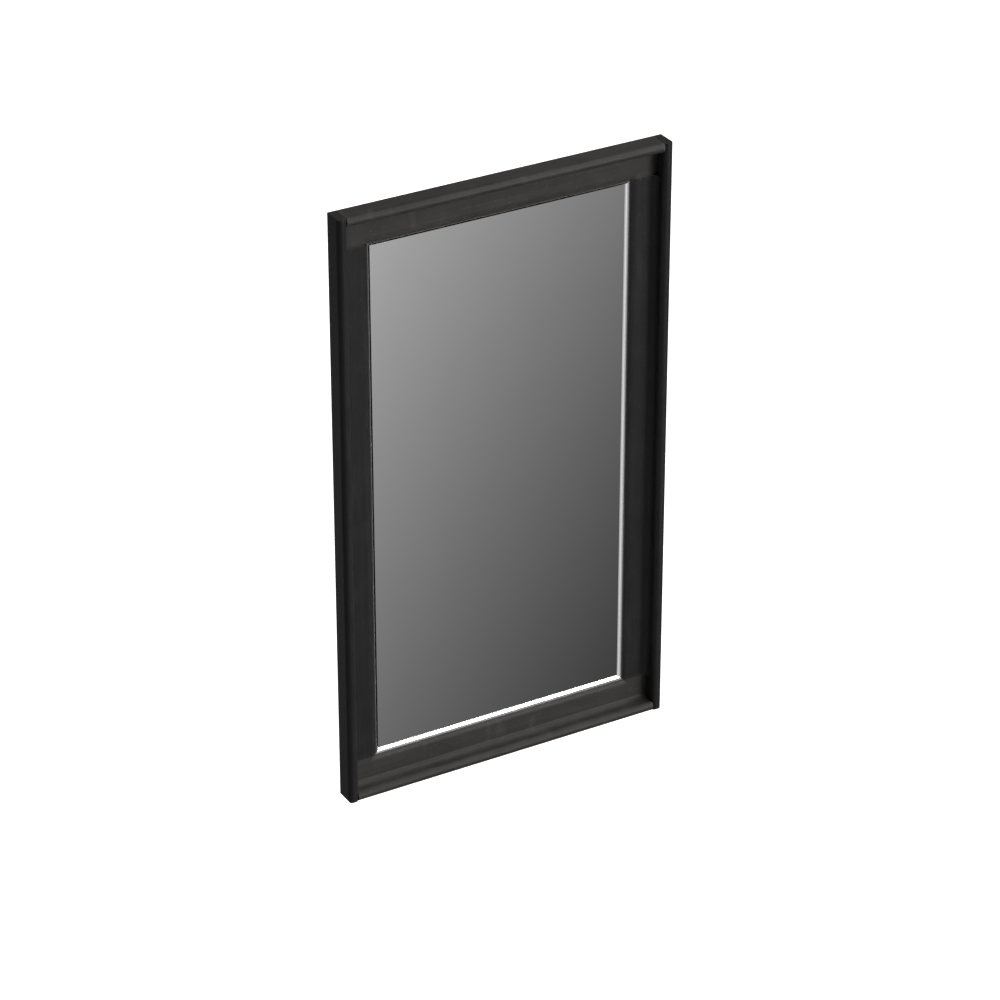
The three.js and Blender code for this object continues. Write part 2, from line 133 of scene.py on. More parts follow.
# ---- Sections -----------------------------------------------------------------------------------
@dataclass(frozen=True)
class Corner:
    """A corner of a section, and the radius that eases it."""

    across: float
    height: float
    ease: float = 0.0


@dataclass(frozen=True)
class Edge:
    """A point of a finished section, and how much of it is a worn arris, from 0 to 1."""

    across: float
    height: float
    arris: float = 0.0


def plain(points: Sequence[Point]) -> list[Corner]:
    """Corners without easing, for the points of a curve."""
    return [Corner(across, height) for across, height in points]


def eased(corners: Sequence[Corner], guard: float = 0.0011, steps: int = 4) -> list[Edge]:
    """Rounds the corners of a closed section and keeps the faces between them flat.

    Args:
        corners: the section's corners in order.
        guard: distance from an arris to the point where its wear has faded out.
        steps: facets in each rounded corner.

    Returns:
        The points of the closed section, with their wear.
    """
    room_for_guard = 2.5
    longest_share = 0.45
    edges: list[Edge] = []
    for i, corner in enumerate(corners):
        here = Vector((corner.across, corner.height))
        if corner.ease <= 0:
            edges.append(Edge(here.x, here.y))
            continue
        following = corners[(i + 1) % len(corners)]
        before = Vector((corners[i - 1].across, corners[i - 1].height)) - here
        after = Vector((following.across, following.height)) - here
        half_angle = before.angle(after) / 2
        longest = longest_share * min(before.length, after.length)
        reach = min(corner.ease / math.tan(half_angle), longest)
        middle = here + (before.normalized() + after.normalized()).normalized() * (
            reach / math.cos(half_angle)
        )
        start = here + before.normalized() * reach
        end = here + after.normalized() * reach
        if before.length > room_for_guard * (reach + guard):
            fading = start + before.normalized() * guard
            edges.append(Edge(fading.x, fading.y))
        turn = (start - middle).angle_signed(end - middle)
        for k in range(steps + 1):
            spoke = (start - middle) @ Matrix.Rotation(turn * k / steps, 2)
            edges.append(Edge(middle.x + spoke.x, middle.y + spoke.y, 1.0))
        if after.length > room_for_guard * (reach + guard):
            fading = end + after.normalized() * guard
            edges.append(Edge(fading.x, fading.y))
    return edges


def distinct(section: Sequence[Edge]) -> list[Edge]:
    """Leaves out the points of a closed section that lie on the point before them.

    Args:
        section: the closed section.

    Returns:
        The points that are left.
    """
    kept = []
    for i, edge in enumerate(section):
        before = section[i - 1]
        if math.hypot(edge.across - before.across, edge.height - before.height) > MERGE_DISTANCE:
            kept.append(edge)
    return kept


def drawn_in(section: Sequence[Edge], distance: float) -> list[Point]:
    """Moves every edge of a closed section inwards by the same distance.

    Args:
        section: the closed section.
        distance: how far each edge moves in.

    Returns:
        The moved points.
    """
    sharpest_joint = 0.25
    points = [Vector((edge.across, edge.height)) for edge in section]
    if distance <= 0:
        return [(point.x, point.y) for point in points]
    area = sum(points[i - 1].cross(point) for i, point in enumerate(points))
    turn = 1.0 if area > 0 else -1.0
    moved = []
    for i, point in enumerate(points):
        behind = (point - points[i - 1]).normalized()
        ahead = (points[(i + 1) % len(points)] - point).normalized()
        joint = Vector((-behind.y - ahead.y, behind.x + ahead.x)) * turn
        scale = distance / max(sharpest_joint, 1 + behind.dot(ahead))
        moved.append((point.x + joint.x * scale, point.y + joint.y * scale))
    return moved


# ---- Meshes -------------------------------------------------------------------------------------
@dataclass
class Station:
    """One ring of a lofted piece: its points, their wear, and how near it is to the piece's end."""

    points: list[Vector]
    arris: list[float]
    end_zone: float = 0.0


@dataclass
class Draft:
    """The vertices and faces of one piece while it is being made."""

    vertices: list[Vector] = field(default_factory=list)
    faces: list[tuple[int, ...]] = field(default_factory=list)
    arris: list[float] = field(default_factory=list)
    end_zone: list[float] = field(default_factory=list)
    creases: list[tuple[int, int]] = field(default_factory=list)

    def ring(self, station: Station) -> list[int]:
        """Adds a station's points.

        Args:
            station: the ring to add.

        Returns:
            The numbers of the new vertices.
        """
        first = len(self.vertices)
        self.vertices.extend(station.points)
        self.arris.extend(station.arris)
        self.end_zone.extend([station.end_zone] * len(station.points))
        return list(range(first, len(self.vertices)))

    def bridge(self, near: Sequence[int], far: Sequence[int]) -> None:
        """Joins two closed rings of the same length with quads.

        Args:
            near: vertex numbers of one ring.
            far: vertex numbers of the other.
        """
        for i in range(len(near)):
            j = (i + 1) % len(near)
            self.faces.append((near[i], near[j], far[j], far[i]))

    def fan(self, ring: Sequence[int], tip: Vector) -> None:
        """Closes a ring with triangles that meet at a point.

        Args:
            ring: the ring's vertex numbers.
            tip: the point.
        """
        point = self.ring(Station([tip], [0.0]))[0]
        for i in range(len(ring)):
            self.faces.append((ring[i], ring[(i + 1) % len(ring)], point))

    def cap(self, ring: Sequence[int]) -> None:
        """Closes a ring with one flat face."""
        self.faces.append(tuple(ring))

    def finish(self, name: str, sharp: float = SHARP_ANGLE) -> Object:
        """Makes the object: merged, with its faces outwards and its flat faces shaded flat.

        Args:
            name: the piece's name.
            sharp: angle in degrees above which an edge is shaded sharp.

        Returns:
            The new object, in the scene.
        """
        mesh = bpy.data.meshes.new(name)
        mesh.from_pydata(self.vertices, [], self.faces)
        for label, values in (("arris", self.arris), ("end_zone", self.end_zone)):
            mesh.attributes.new(label, "FLOAT", "POINT").data.foreach_set("value", values)
        work = bmesh.new()
        work.from_mesh(mesh)
        work.verts.ensure_lookup_table()
        for a, b in self.creases:
            edge = work.edges.get((work.verts[a], work.verts[b]))
            if edge is not None:
                edge.smooth = False
        bmesh.ops.remove_doubles(work, verts=work.verts, dist=MERGE_DISTANCE)
        bmesh.ops.recalc_face_normals(work, faces=work.faces)
        work.to_mesh(mesh)
        work.free()
        piece = bpy.data.objects.new(name, mesh)
        bpy.context.scene.collection.objects.link(piece)
        shade(piece, sharp)
        return piece


def shade(piece: Object, sharp: float = SHARP_ANGLE) -> None:
    """Shades a piece smooth where it curves and flat where it is flat.

    Args:
        piece: the piece.
        sharp: angle in degrees above which an edge is shaded sharp.
    """
    mesh = piece.data
    kept = [edge.use_edge_sharp for edge in mesh.edges]
    mesh.shade_smooth()
    mesh.set_sharp_from_angle(angle=math.radians(sharp))
    for edge, was_sharp in zip(mesh.edges, kept):
        edge.use_edge_sharp = edge.use_edge_sharp or was_sharp
    even_shading(piece)


def even_shading(piece: Object) -> None:
    """Lets a piece's large faces set its normals, so that they look flat.

    Args:
        piece: the piece.
    """
    weighted = piece.modifiers.new("even_shading", "WEIGHTED_NORMAL")
    weighted.keep_sharp = True
    weighted.weight = LARGE_FACES_FIRST


def loft(name: str, stations: Sequence[Station], sharp: float = SHARP_ANGLE) -> Object:
    """Makes a closed piece from a row of rings.

    Args:
        name: the piece's name.
        stations: the rings in order.
        sharp: angle in degrees above which an edge is shaded sharp.

    Returns:
        The new object.
    """
    draft = Draft()
    rings = [draft.ring(station) for station in stations]
    for near, far in zip(rings, rings[1:]):
        draft.bridge(near, far)
    draft.cap(rings[0])
    draft.cap(rings[-1])
    return draft.finish(name, sharp)


def turned(name: str, profile: Sequence[Point], sides: int) -> Object:
    """Turns a profile about the Y axis.

    Args:
        name: the piece's name.
        profile: pairs of radius and place along +Y. The first and last lie on the axis.
        sides: facets round the axis.

    Returns:
        The new object, with its axis through the origin.
    """
    draft = Draft()
    rings = []
    for radius, place in profile[1:-1]:
        angles = [2 * math.pi * k / sides for k in range(sides)]
        points = [Vector((radius * math.cos(a), place, radius * math.sin(a))) for a in angles]
        rings.append(draft.ring(Station(points, [0.0] * sides)))
    for near, far in zip(rings, rings[1:]):
        draft.bridge(near, far)
    draft.fan(rings[0], Vector((0.0, profile[0][1], 0.0)))
    draft.fan(rings[-1], Vector((0.0, profile[-1][1], 0.0)))
    return draft.finish(name)


def merged(name: str, parts: Sequence[Object]) -> Object:
    """Puts several closed objects into one, in the places where they stand.

    Args:
        name: the name of the new object.
        parts: the objects, which are deleted.

    Returns:
        The new object.
    """
    work = bmesh.new()
    for part in parts:
        part.data.transform(part.matrix_basis)
        work.from_mesh(part.data)
        bpy.data.objects.remove(part)
    mesh = bpy.data.meshes.new(name)
    work.to_mesh(mesh)
    work.free()
    whole = bpy.data.objects.new(name, mesh)
    bpy.context.scene.collection.objects.link(whole)
    return whole


def carve(piece: Object, cutter: Object, sharp: float = SHARP_CUT_ANGLE) -> None:
    """Cuts one object from another, and deletes the cutter.

    Args:
        piece: the object that is cut.
        cutter: a closed object.
        sharp: angle in degrees above which an edge is shaded sharp.
    """
    piece.modifiers.clear()
    cutter.modifiers.clear()
    cut = piece.modifiers.new("cut", "BOOLEAN")
    cut.operation = "DIFFERENCE"
    cut.solver = "EXACT"
    cut.object = cutter
    bpy.context.view_layer.update()
    graph = bpy.context.evaluated_depsgraph_get()
    result = bpy.data.meshes.new_from_object(piece.evaluated_get(graph))
    piece.modifiers.clear()
    piece.data = result
    bpy.data.objects.remove(cutter)
    shade(piece, sharp)


def straight_run(side: Side, section: Sequence[Edge], reach: float, arris: float) -> list[Station]:
    """Rings for a straight member whose ends are eased.

    Args:
        side: the side that the member lies on.
        section: its closed section.
        reach: half its length.
        arris: radius of the easing at its ends.

    Returns:
        The rings from one end to the other.
    """
    steps = 4
    rim = 0.00005
    fade = 0.0012
    zone = 0.009
    near_end = 0.85
    pitch = 0.05
    worn = [1.0] * len(section)
    wear = [edge.arris for edge in section]
    half = [(reach, arris + rim, [0.0] * len(section), 1.0)]
    for k in range(steps + 1):
        angle = QUARTER * k / steps
        half.append((reach - arris * (1 - math.cos(angle)), arris * (1 - math.sin(angle)), worn, 1.0))
    half.append((reach - arris - fade, 0.0, wear, near_end))
    half.append((reach - zone, 0.0, wear, 0.0))
    count = max(2, round(2 * (reach - zone) / pitch))
    middle = [((reach - zone) * (2 * k / count - 1), 0.0, wear, 0.0) for k in range(1, count)]
    rows = [(-place, inset, marks, end) for place, inset, marks, end in half] + middle + half[::-1]
    return [
        Station([ENVELOPE.place(side, a, h, place) for a, h in drawn_in(section, inset)], marks, end)
        for place, inset, marks, end in rows
    ]


def seat(piece: Object, node: str, material: Material, body: str = FIXED_BODY) -> None:
    """Dresses a piece, lets it stand for its CAD node and ties it to its body.

    Args:
        piece: the finished piece, in place.
        node: the CAD node that it stands for.
        material: its finish.
        body: the CAD body that carries it.
    """
    if not piece.data.materials:
        piece.data.materials.append(material)
    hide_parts(node)
    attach(piece, body)
    log.info("%s stands for %s and rides on %s", piece.name, node, body)


# ---- Shader graphs ------------------------------------------------------------------------------
@dataclass(frozen=True)
class Graph:
    """A node tree, with short ways to add and join nodes."""

    tree: NodeTree

    def add(self, kind: str, **settings: object) -> Node:
        """Adds a node.

        Args:
            kind: the node's type.
            settings: properties of the node and their values.

        Returns:
            The new node.
        """
        node = self.tree.nodes.new(kind)
        for name, value in settings.items():
            setattr(node, name, value)
        return node

    def feed(self, socket: NodeSocket, value: Feed) -> None:
        """Joins a socket to another one, or sets it to a value. None leaves it as it is.

        Args:
            socket: the input.
            value: what feeds it.
        """
        if isinstance(value, NodeSocket):
            self.tree.links.new(value, socket)
        elif value is not None:
            socket.default_value = value

    def math(self, operation: str, first: Feed, second: Feed = None, third: Feed = None) -> NodeSocket:
        """One operation of a Math node, without clamping.

        Args:
            operation: the node's operation.
            first: the first value.
            second: the second value.
            third: the third value.

        Returns:
            The result's socket.
        """
        node = self.add("ShaderNodeMath", operation=operation)
        for socket, value in zip(node.inputs, (first, second, third)):
            self.feed(socket, value)
        return node.outputs[0]

    def ramp(self, value: Feed, low: float, high: float, start: float = 0.0, end: float = 1.0) -> NodeSocket:
        """Maps a value smoothly from one range to another, and holds it there.

        Args:
            value: the value to map.
            low: the value that gives start.
            high: the value that gives end.
            start: the result at low.
            end: the result at high.

        Returns:
            The result's socket.
        """
        node = self.add("ShaderNodeMapRange", interpolation_type="SMOOTHSTEP")
        for socket, item in zip(node.inputs, (value, low, high, start, end)):
            self.feed(socket, item)
        return node.outputs[0]

    def scaled(self, value: Feed, gain: Feed, offset: Feed = None) -> NodeSocket:
        """A value times a gain, plus an offset where one is given.

        Args:
            value: the value.
            gain: what it is multiplied by.
            offset: what is added.

        Returns:
            The result's socket.
        """
        if offset is None:
            return self.math("MULTIPLY", value, gain)
        return self.math("MULTIPLY_ADD", value, gain, offset)

    def blend(self, share: Feed, first: Feed, second: Feed) -> NodeSocket:
        """Mixes two colours.

        Args:
            share: how much of the second colour there is.
            first: the first colour.
            second: the second colour.

        Returns:
            The mixed colour's socket.
        """
        node = self.add("ShaderNodeMix", data_type="RGBA")
        self.feed(node.inputs["Factor"], share)
        for name, colour in (("A", first), ("B", second)):
            socket = next(s for s in node.inputs if s.name == name and s.type == "RGBA")
            self.feed(socket, (*colour, 1.0) if isinstance(colour, tuple) else colour)
        return next(s for s in node.outputs if s.type == "RGBA")

    def noise(self, vector: Feed, scale: Feed, detail: float = 3.0, rough: float = 0.5) -> NodeSocket:
        """A soft noise value round 0.5.

        Args:
            vector: where it is read.
            scale: how fine it is.
            detail: how many finer layers it has.
            rough: how strong those layers are.

        Returns:
            The value's socket.
        """
        node = self.add("ShaderNodeTexNoise")
        for name, value in (("Vector", vector), ("Scale", scale), ("Detail", detail), ("Roughness", rough)):
            self.feed(node.inputs[name], value)
        return node.outputs["Fac"]

    def place(self, stretch: Feed = None, turn: Feed = None) -> NodeSocket:
        """Object coordinates, scaled and turned.

        Args:
            stretch: scale along each axis.
            turn: rotation about each axis.

        Returns:
            The coordinates' socket.
        """
        mapping = self.add("ShaderNodeMapping")
        self.feed(mapping.inputs["Vector"], self.add("ShaderNodeTexCoord").outputs["Object"])
        for name, value in (("Scale", stretch), ("Rotation", turn)):
            self.feed(mapping.inputs[name], value)
        return mapping.outputs[0]

    def mark(self, name: str) -> NodeSocket:
        """A named value that the mesh carries."""
        return self.add("ShaderNodeAttribute", attribute_name=name).outputs["Fac"]

    def use(self, group: NodeTree, **values: Feed) -> Node:
        """Places a node group.

        Args:
            group: the group.
            values: its inputs, by name.

        Returns:
            The group's node.
        """
        node = self.add("ShaderNodeGroup", node_tree=group)
        for name, value in values.items():
            self.feed(node.inputs[name], value)
        return node


@dataclass(frozen=True)
class GroupDraft:
    """A node group while it is being made."""

    graph: Graph
    source: Node
    sink: Node

    @classmethod
    def start(cls, name: str, inputs: dict[str, float | tuple], outputs: Sequence[str]) -> "GroupDraft":
        """Starts a group with its inputs and outputs.

        Args:
            name: the group's name.
            inputs: each input with its first value. Three numbers make it a vector.
            outputs: names of the values that it gives.

        Returns:
            The draft.
        """
        tree = bpy.data.node_groups.new(name, "ShaderNodeTree")
        for label, value in inputs.items():
            kind = "NodeSocketVector" if isinstance(value, tuple) else "NodeSocketFloat"
            tree.interface.new_socket(name=label, in_out="INPUT", socket_type=kind).default_value = value
        for label in outputs:
            tree.interface.new_socket(name=label, in_out="OUTPUT", socket_type="NodeSocketFloat")
        graph = Graph(tree)
        return cls(graph, graph.add("NodeGroupInput"), graph.add("NodeGroupOutput"))

    def give(self, **values: NodeSocket) -> NodeTree:
        """Joins the group's outputs.

        Args:
            values: each output's name with the socket that feeds it.

        Returns:
            The finished group.
        """
        for name, value in values.items():
            self.graph.feed(self.sink.inputs[name], value)
        return self.graph.tree


def grain_group() -> NodeTree:
    """Wood grain that runs lengthwise: fine fibres, broad figure and short pores.

    Returns:
        The finished group.
    """
    figure_fineness = 0.11
    pore_fineness = 1.7
    draft = GroupDraft.start(
        "lengthwise_grain",
        {"Stretch": (1.0, 1.0, 0.03), "Fineness": 1400.0},
        ("Fibre", "Figure", "Pores"),
    )
    graph = draft.graph
    fineness = draft.source.outputs["Fineness"]
    place = graph.place(stretch=draft.source.outputs["Stretch"])
    fibre = graph.noise(place, fineness, detail=5.0, rough=0.62)
    figure = graph.noise(place, graph.scaled(fineness, figure_fineness), detail=3.0, rough=0.55)
    pores = graph.noise(place, graph.scaled(fineness, pore_fineness), detail=1.0)
    return draft.give(Fibre=fibre, Figure=figure, Pores=graph.ramp(pores, low=0.66, high=0.74))


def wear_group() -> NodeTree:
    """Wear on the arrises and scuffs round a member's ends, broken up by noise.

    Returns:
        The finished group.
    """
    blotch_fineness = 0.9
    end_falloff = 1.6
    draft = GroupDraft.start("arris_wear", {"Scale": 260.0}, ("Arris", "End"))
    graph = draft.graph
    scale = draft.source.outputs["Scale"]
    place = graph.place()
    broken = graph.ramp(graph.noise(place, scale, detail=4.0, rough=0.65), low=0.42, high=0.62)
    blotches = graph.noise(place, graph.scaled(scale, blotch_fineness), detail=3.0, rough=0.6)
    blotches = graph.ramp(blotches, low=0.5, high=0.66)
    arris = graph.scaled(graph.mark("arris"), broken)
    end = graph.scaled(graph.math("POWER", graph.mark("end_zone"), end_falloff), blotches)
    return draft.give(Arris=arris, End=end)


def fleck_group() -> NodeTree:
    """Small scattered flecks, as dust makes when it settles in a finish.

    Returns:
        The finished group.
    """
    smallest = 0.4
    draft = GroupDraft.start("flecks", {"Scale": 160.0, "Size": 0.1, "Share": 0.3}, ("Mask",))
    graph = draft.graph
    cells = graph.add("ShaderNodeTexVoronoi")
    graph.feed(cells.inputs["Vector"], graph.place())
    graph.feed(cells.inputs["Scale"], draft.source.outputs["Scale"])
    tone = graph.add("ShaderNodeSeparateColor")
    graph.feed(tone.inputs[0], cells.outputs["Color"])
    chosen = graph.math("LESS_THAN", tone.outputs[0], draft.source.outputs["Share"])
    size = graph.scaled(draft.source.outputs["Size"], graph.math("ADD", tone.outputs[1], smallest))
    near = graph.math("LESS_THAN", cells.outputs["Distance"], size)
    return draft.give(Mask=graph.scaled(chosen, near))


def scuff_group() -> NodeTree:
    """Thin slanting scratches in patches.

    Returns:
        The finished group.
    """
    slant = math.radians(38)
    draft = GroupDraft.start("slanting_scuffs", {"Scale": 900.0, "Patch": 9.0}, ("Mask",))
    graph = draft.graph
    slanted = graph.place(turn=(0.0, slant, 0.0), stretch=(1.0, 1.0, 0.028))
    lines = graph.noise(slanted, draft.source.outputs["Scale"], detail=1.0)
    lines = graph.ramp(lines, low=0.7, high=0.76)
    patches = graph.noise(graph.place(), draft.source.outputs["Patch"], detail=2.0)
    patches = graph.ramp(patches, low=0.52, high=0.66)
    return draft.give(Mask=graph.scaled(lines, patches))


def smudge_group() -> NodeTree:
    """Faint upright smears, as a hand or a cloth leaves on a satin finish.

    Returns:
        The finished group.
    """
    slant = math.radians(-7)
    patch_fineness = 0.16
    draft = GroupDraft.start("upright_smudges", {"Scale": 55.0}, ("Mask",))
    graph = draft.graph
    scale = draft.source.outputs["Scale"]
    drawn = graph.place(stretch=(1.0, 1.0, 0.22), turn=(0.0, slant, 0.0))
    smears = graph.ramp(graph.noise(drawn, scale, detail=2.0, rough=0.45), low=0.52, high=0.7)
    patches = graph.noise(graph.place(), graph.scaled(scale, patch_fineness), detail=1.0)
    patches = graph.ramp(patches, low=0.48, high=0.62)
    return draft.give(Mask=graph.scaled(smears, patches))


def dust_group() -> NodeTree:
    """Thin dust on what faces up, patchy along the member.

    Returns:
        The finished group.
    """
    draft = GroupDraft.start("settled_dust", {"Scale": 35.0}, ("Mask",))
    graph = draft.graph
    facing = graph.add("ShaderNodeSeparateXYZ")
    graph.feed(facing.inputs[0], graph.add("ShaderNodeNewGeometry").outputs["Normal"])
    upward = graph.ramp(facing.outputs["Z"], low=0.25, high=1.0)
    patches = graph.noise(graph.place(), draft.source.outputs["Scale"], detail=4.0, rough=0.6)
    patches = graph.ramp(patches, low=0.3, high=0.75)
    return draft.give(Mask=graph.scaled(upward, patches))


def brushing_group() -> NodeTree:
    """Fine lines that run one way, as a polishing wheel or a rolling mill leaves.

    Returns:
        The finished group.
    """
    draft = GroupDraft.start("fine_lines", {"Stretch": (1.0, 1.0, 0.02), "Scale": 3000.0}, ("Lines",))
    graph = draft.graph
    place = graph.place(stretch=draft.source.outputs["Stretch"])
    return draft.give(Lines=graph.noise(place, draft.source.outputs["Scale"], detail=2.0, rough=0.6))


def mottle_group() -> NodeTree:
    """Soft cloudy variation in a broad and a finer layer.

    Returns:
        The finished group.
    """
    speck_fineness = 14.0
    draft = GroupDraft.start("mottle", {"Scale": 40.0}, ("Clouds", "Specks"))
    graph = draft.graph
    scale = draft.source.outputs["Scale"]
    clouds = graph.noise(graph.place(), scale, detail=4.0, rough=0.55)
    specks = graph.noise(graph.place(), graph.scaled(scale, speck_fineness), detail=2.0, rough=0.5)
    return draft.give(Clouds=clouds, Specks=specks)


@dataclass(frozen=True)
class Effects:
    """The node groups that the finishes share."""

    grain: NodeTree
    wear: NodeTree
    flecks: NodeTree
    scuffs: NodeTree
    smudges: NodeTree
    dust: NodeTree
    brushing: NodeTree
    mottle: NodeTree

    @classmethod
    def build(cls) -> "Effects":
        """Builds each group once.

        Returns:
            The built groups.
        """
        return cls(
            grain=grain_group(),
            wear=wear_group(),
            flecks=fleck_group(),
            scuffs=scuff_group(),
            smudges=smudge_group(),
            dust=dust_group(),
            brushing=brushing_group(),
            mottle=mottle_group(),
        )


# ---- Finishes -----------------------------------------------------------------------------------
def new_finish(name: str) -> tuple[Material, Graph, Node]:
    """Starts a material.

    Args:
        name: the material's name.

    Returns:
        The material, its graph and its Principled node.
    """
    material = bpy.data.materials.new(name)
    material.use_nodes = True
    graph = Graph(material.node_tree)
    return material, graph, material.node_tree.nodes["Principled BSDF"]


def raise_surface(graph: Graph, shader: Node, height: Feed, depth: float, strength: float) -> None:
    """Gives a finish its relief.

    Args:
        graph: the material's graph.
        shader: its Principled node.
        height: the relief, from 0 to 1.
        depth: how high 1 stands, in metres.
        strength: how strongly it shows.
    """
    bump = graph.add("ShaderNodeBump")
    bump.inputs["Strength"].default_value = strength
    bump.inputs["Distance"].default_value = depth
    graph.feed(bump.inputs["Height"], height)
    graph.feed(shader.inputs["Normal"], bump.outputs["Normal"])


class GrainRun(Enum):
    """The way that the grain of a member runs, as a stretch of its coordinates."""

    UPRIGHT = (1.0, 1.0, 0.028)
    LEVEL = (0.028, 1.0, 1.0)


@dataclass(frozen=True)
class StainedWood:
    """Wood under a thin dark stain and a satin lacquer, worn pale at its edges.

    The shares say how much of each effect shows, from 0 to 1.
    """

    name: str
    run: GrainRun
    deep: Colour
    thin: Colour
    worn: Colour
    dusty: Colour
    roughness: float = 0.4
    gloss: float = 0.1
    figure_share: float = 0.65
    cloud_share: float = 0.35
    pore_share: float = 0.45
    pore_tone: float = 0.45
    arris_share: float = 0.35
    end_share: float = 0.5
    fleck_share: float = 0.5
    scuff_share: float = 0.25
    smudge_share: float = 0.08
    dust_share: float = 0.25
    fibre_roughness: float = 0.14
    end_roughness: float = 0.2
    dust_roughness: float = 0.12

    def build(self, effects: Effects) -> Material:
        """Builds the material.

        Args:
            effects: the shared node groups.

        Returns:
            The material.
        """
        material, graph, shader = new_finish(self.name)
        grain = graph.use(effects.grain, Stretch=self.run.value).outputs
        wear = graph.use(effects.wear).outputs
        flecks = graph.use(effects.flecks).outputs["Mask"]
        scuffs = graph.use(effects.scuffs).outputs["Mask"]
        smudges = graph.use(effects.smudges).outputs["Mask"]
        dust = graph.use(effects.dust).outputs["Mask"]
        clouds = graph.use(effects.mottle, Scale=22.0).outputs["Clouds"]
        fibre = graph.scaled(grain["Fibre"], 1 - self.figure_share)
        streaks = graph.scaled(grain["Figure"], self.figure_share, fibre)
        tone = graph.scaled(clouds, self.cloud_share, graph.scaled(streaks, 1 - self.cloud_share))
        colour = graph.blend(graph.ramp(tone, low=0.34, high=0.66), self.deep, self.thin)
        pore_colour = tuple(self.pore_tone * channel for channel in self.deep)
        colour = graph.blend(graph.scaled(grain["Pores"], self.pore_share), colour, pore_colour)
        colour = graph.blend(graph.scaled(dust, self.dust_share), colour, self.dusty)
        for mask, share in (
            (smudges, self.smudge_share),
            (scuffs, self.scuff_share),
            (flecks, self.fleck_share),
            (wear["Arris"], self.arris_share),
            (wear["End"], self.end_share),
        ):
            colour = graph.blend(graph.scaled(mask, share), colour, self.worn)
        graph.feed(shader.inputs["Base Color"], colour)
        smoothest = self.roughness - self.fibre_roughness / 2
        rough = graph.scaled(grain["Fibre"], self.fibre_roughness, smoothest)
        rough = graph.scaled(wear["End"], self.end_roughness, rough)
        rough = graph.scaled(dust, self.dust_roughness, rough)
        graph.feed(shader.inputs["Roughness"], rough)
        relief = graph.math("SUBTRACT", graph.scaled(grain["Fibre"], 0.5), grain["Pores"])
        shader.inputs["Specular IOR Level"].default_value = self.gloss
        raise_surface(graph, shader, relief, depth=0.00006, strength=0.35)
        return material


@dataclass(frozen=True)
class PolishedSlip:
    """The slip's metal: dark lacquer on its face, polished bare where it falls to the glass. Where the mark
    of bareness sets the edge differs by side, as painted light and shade.
    """

    name: str
    run: GrainRun
    bright: Colour = (0.93, 0.93, 0.93)
    dull: Colour = (0.86, 0.86, 0.86)
    lacquer: Colour = (0.034, 0.032, 0.031)
    rubbed_lacquer: Colour = (0.05, 0.047, 0.045)
    lacquer_gloss: float = 0.1
    lacquer_roughness: float = 0.14
    metal_roughness: float = 0.02
    cloud_roughness: float = 0.02

    def build(self, effects: Effects) -> Material:
        """Builds the material.

        Args:
            effects: the shared node groups.

        Returns:
            The material.
        """
        material, graph, shader = new_finish(self.name)
        lines = graph.use(effects.brushing, Stretch=self.run.value, Scale=5200.0).outputs["Lines"]
        clouds = graph.use(effects.mottle, Scale=60.0).outputs["Clouds"]
        # The polish mark carries painted light and shade as well as the real polish: its reach differs by
        # side.
        polish_and_painted_light = graph.mark("polish_and_painted_light")
        metal = graph.blend(graph.ramp(lines, low=0.35, high=0.65), self.dull, self.bright)
        coat = graph.blend(clouds, self.lacquer, self.rubbed_lacquer)
        graph.feed(shader.inputs["Base Color"], graph.blend(polish_and_painted_light, coat, metal))
        graph.feed(shader.inputs["Metallic"], polish_and_painted_light)
        smoothing = self.metal_roughness - self.lacquer_roughness
        rough = graph.scaled(polish_and_painted_light, smoothing, self.lacquer_roughness)
        graph.feed(shader.inputs["Roughness"], graph.scaled(clouds, self.cloud_roughness, rough))
        shader.inputs["Specular IOR Level"].default_value = self.lacquer_gloss
        raise_surface(graph, shader, lines, depth=0.00001, strength=0.03)
        return material


@dataclass(frozen=True)
class SilveredGlass:
    """The mirror's face: silvered glass with the faintest haze of dust."""

    name: str
    clear: Colour = (0.9, 0.9, 0.9)
    hazed: Colour = (0.84, 0.84, 0.845)
    haze_share: float = 0.25
    roughness: float = 0.012
    speck_roughness: float = 0.1

    def build(self, effects: Effects) -> Material:
        """Builds the material.

        Args:
            effects: the shared node groups.

        Returns:
            The material.
        """
        material, graph, shader = new_finish(self.name)
        clouds = graph.use(effects.mottle, Scale=9.0).outputs["Clouds"]
        specks = graph.use(effects.flecks, Scale=210.0, Size=0.07, Share=0.05).outputs["Mask"]
        shader.inputs["Metallic"].default_value = 1.0
        haze = graph.scaled(graph.ramp(clouds, low=0.45, high=0.75), self.haze_share)
        colour = graph.blend(haze, self.clear, self.hazed)
        graph.feed(shader.inputs["Base Color"], graph.blend(specks, colour, self.hazed))
        graph.feed(shader.inputs["Roughness"], graph.scaled(specks, self.speck_roughness, self.roughness))
        return material


@dataclass(frozen=True)
class BackingPaint:
    """The grey paint on the glass's back and edges."""

    name: str
    body: Colour = (0.11, 0.12, 0.13)
    thin: Colour = (0.17, 0.19, 0.2)

    def build(self, effects: Effects) -> Material:
        """Builds the material.

        Args:
            effects: the shared node groups.

        Returns:
            The material.
        """
        material, graph, shader = new_finish(self.name)
        mottle = graph.use(effects.mottle, Scale=30.0).outputs
        graph.feed(shader.inputs["Base Color"], graph.blend(mottle["Clouds"], self.body, self.thin))
        graph.feed(shader.inputs["Roughness"], graph.scaled(mottle["Specks"], gain=0.2, offset=0.4))
        raise_surface(graph, shader, mottle["Specks"], depth=0.00003, strength=0.2)
        return material


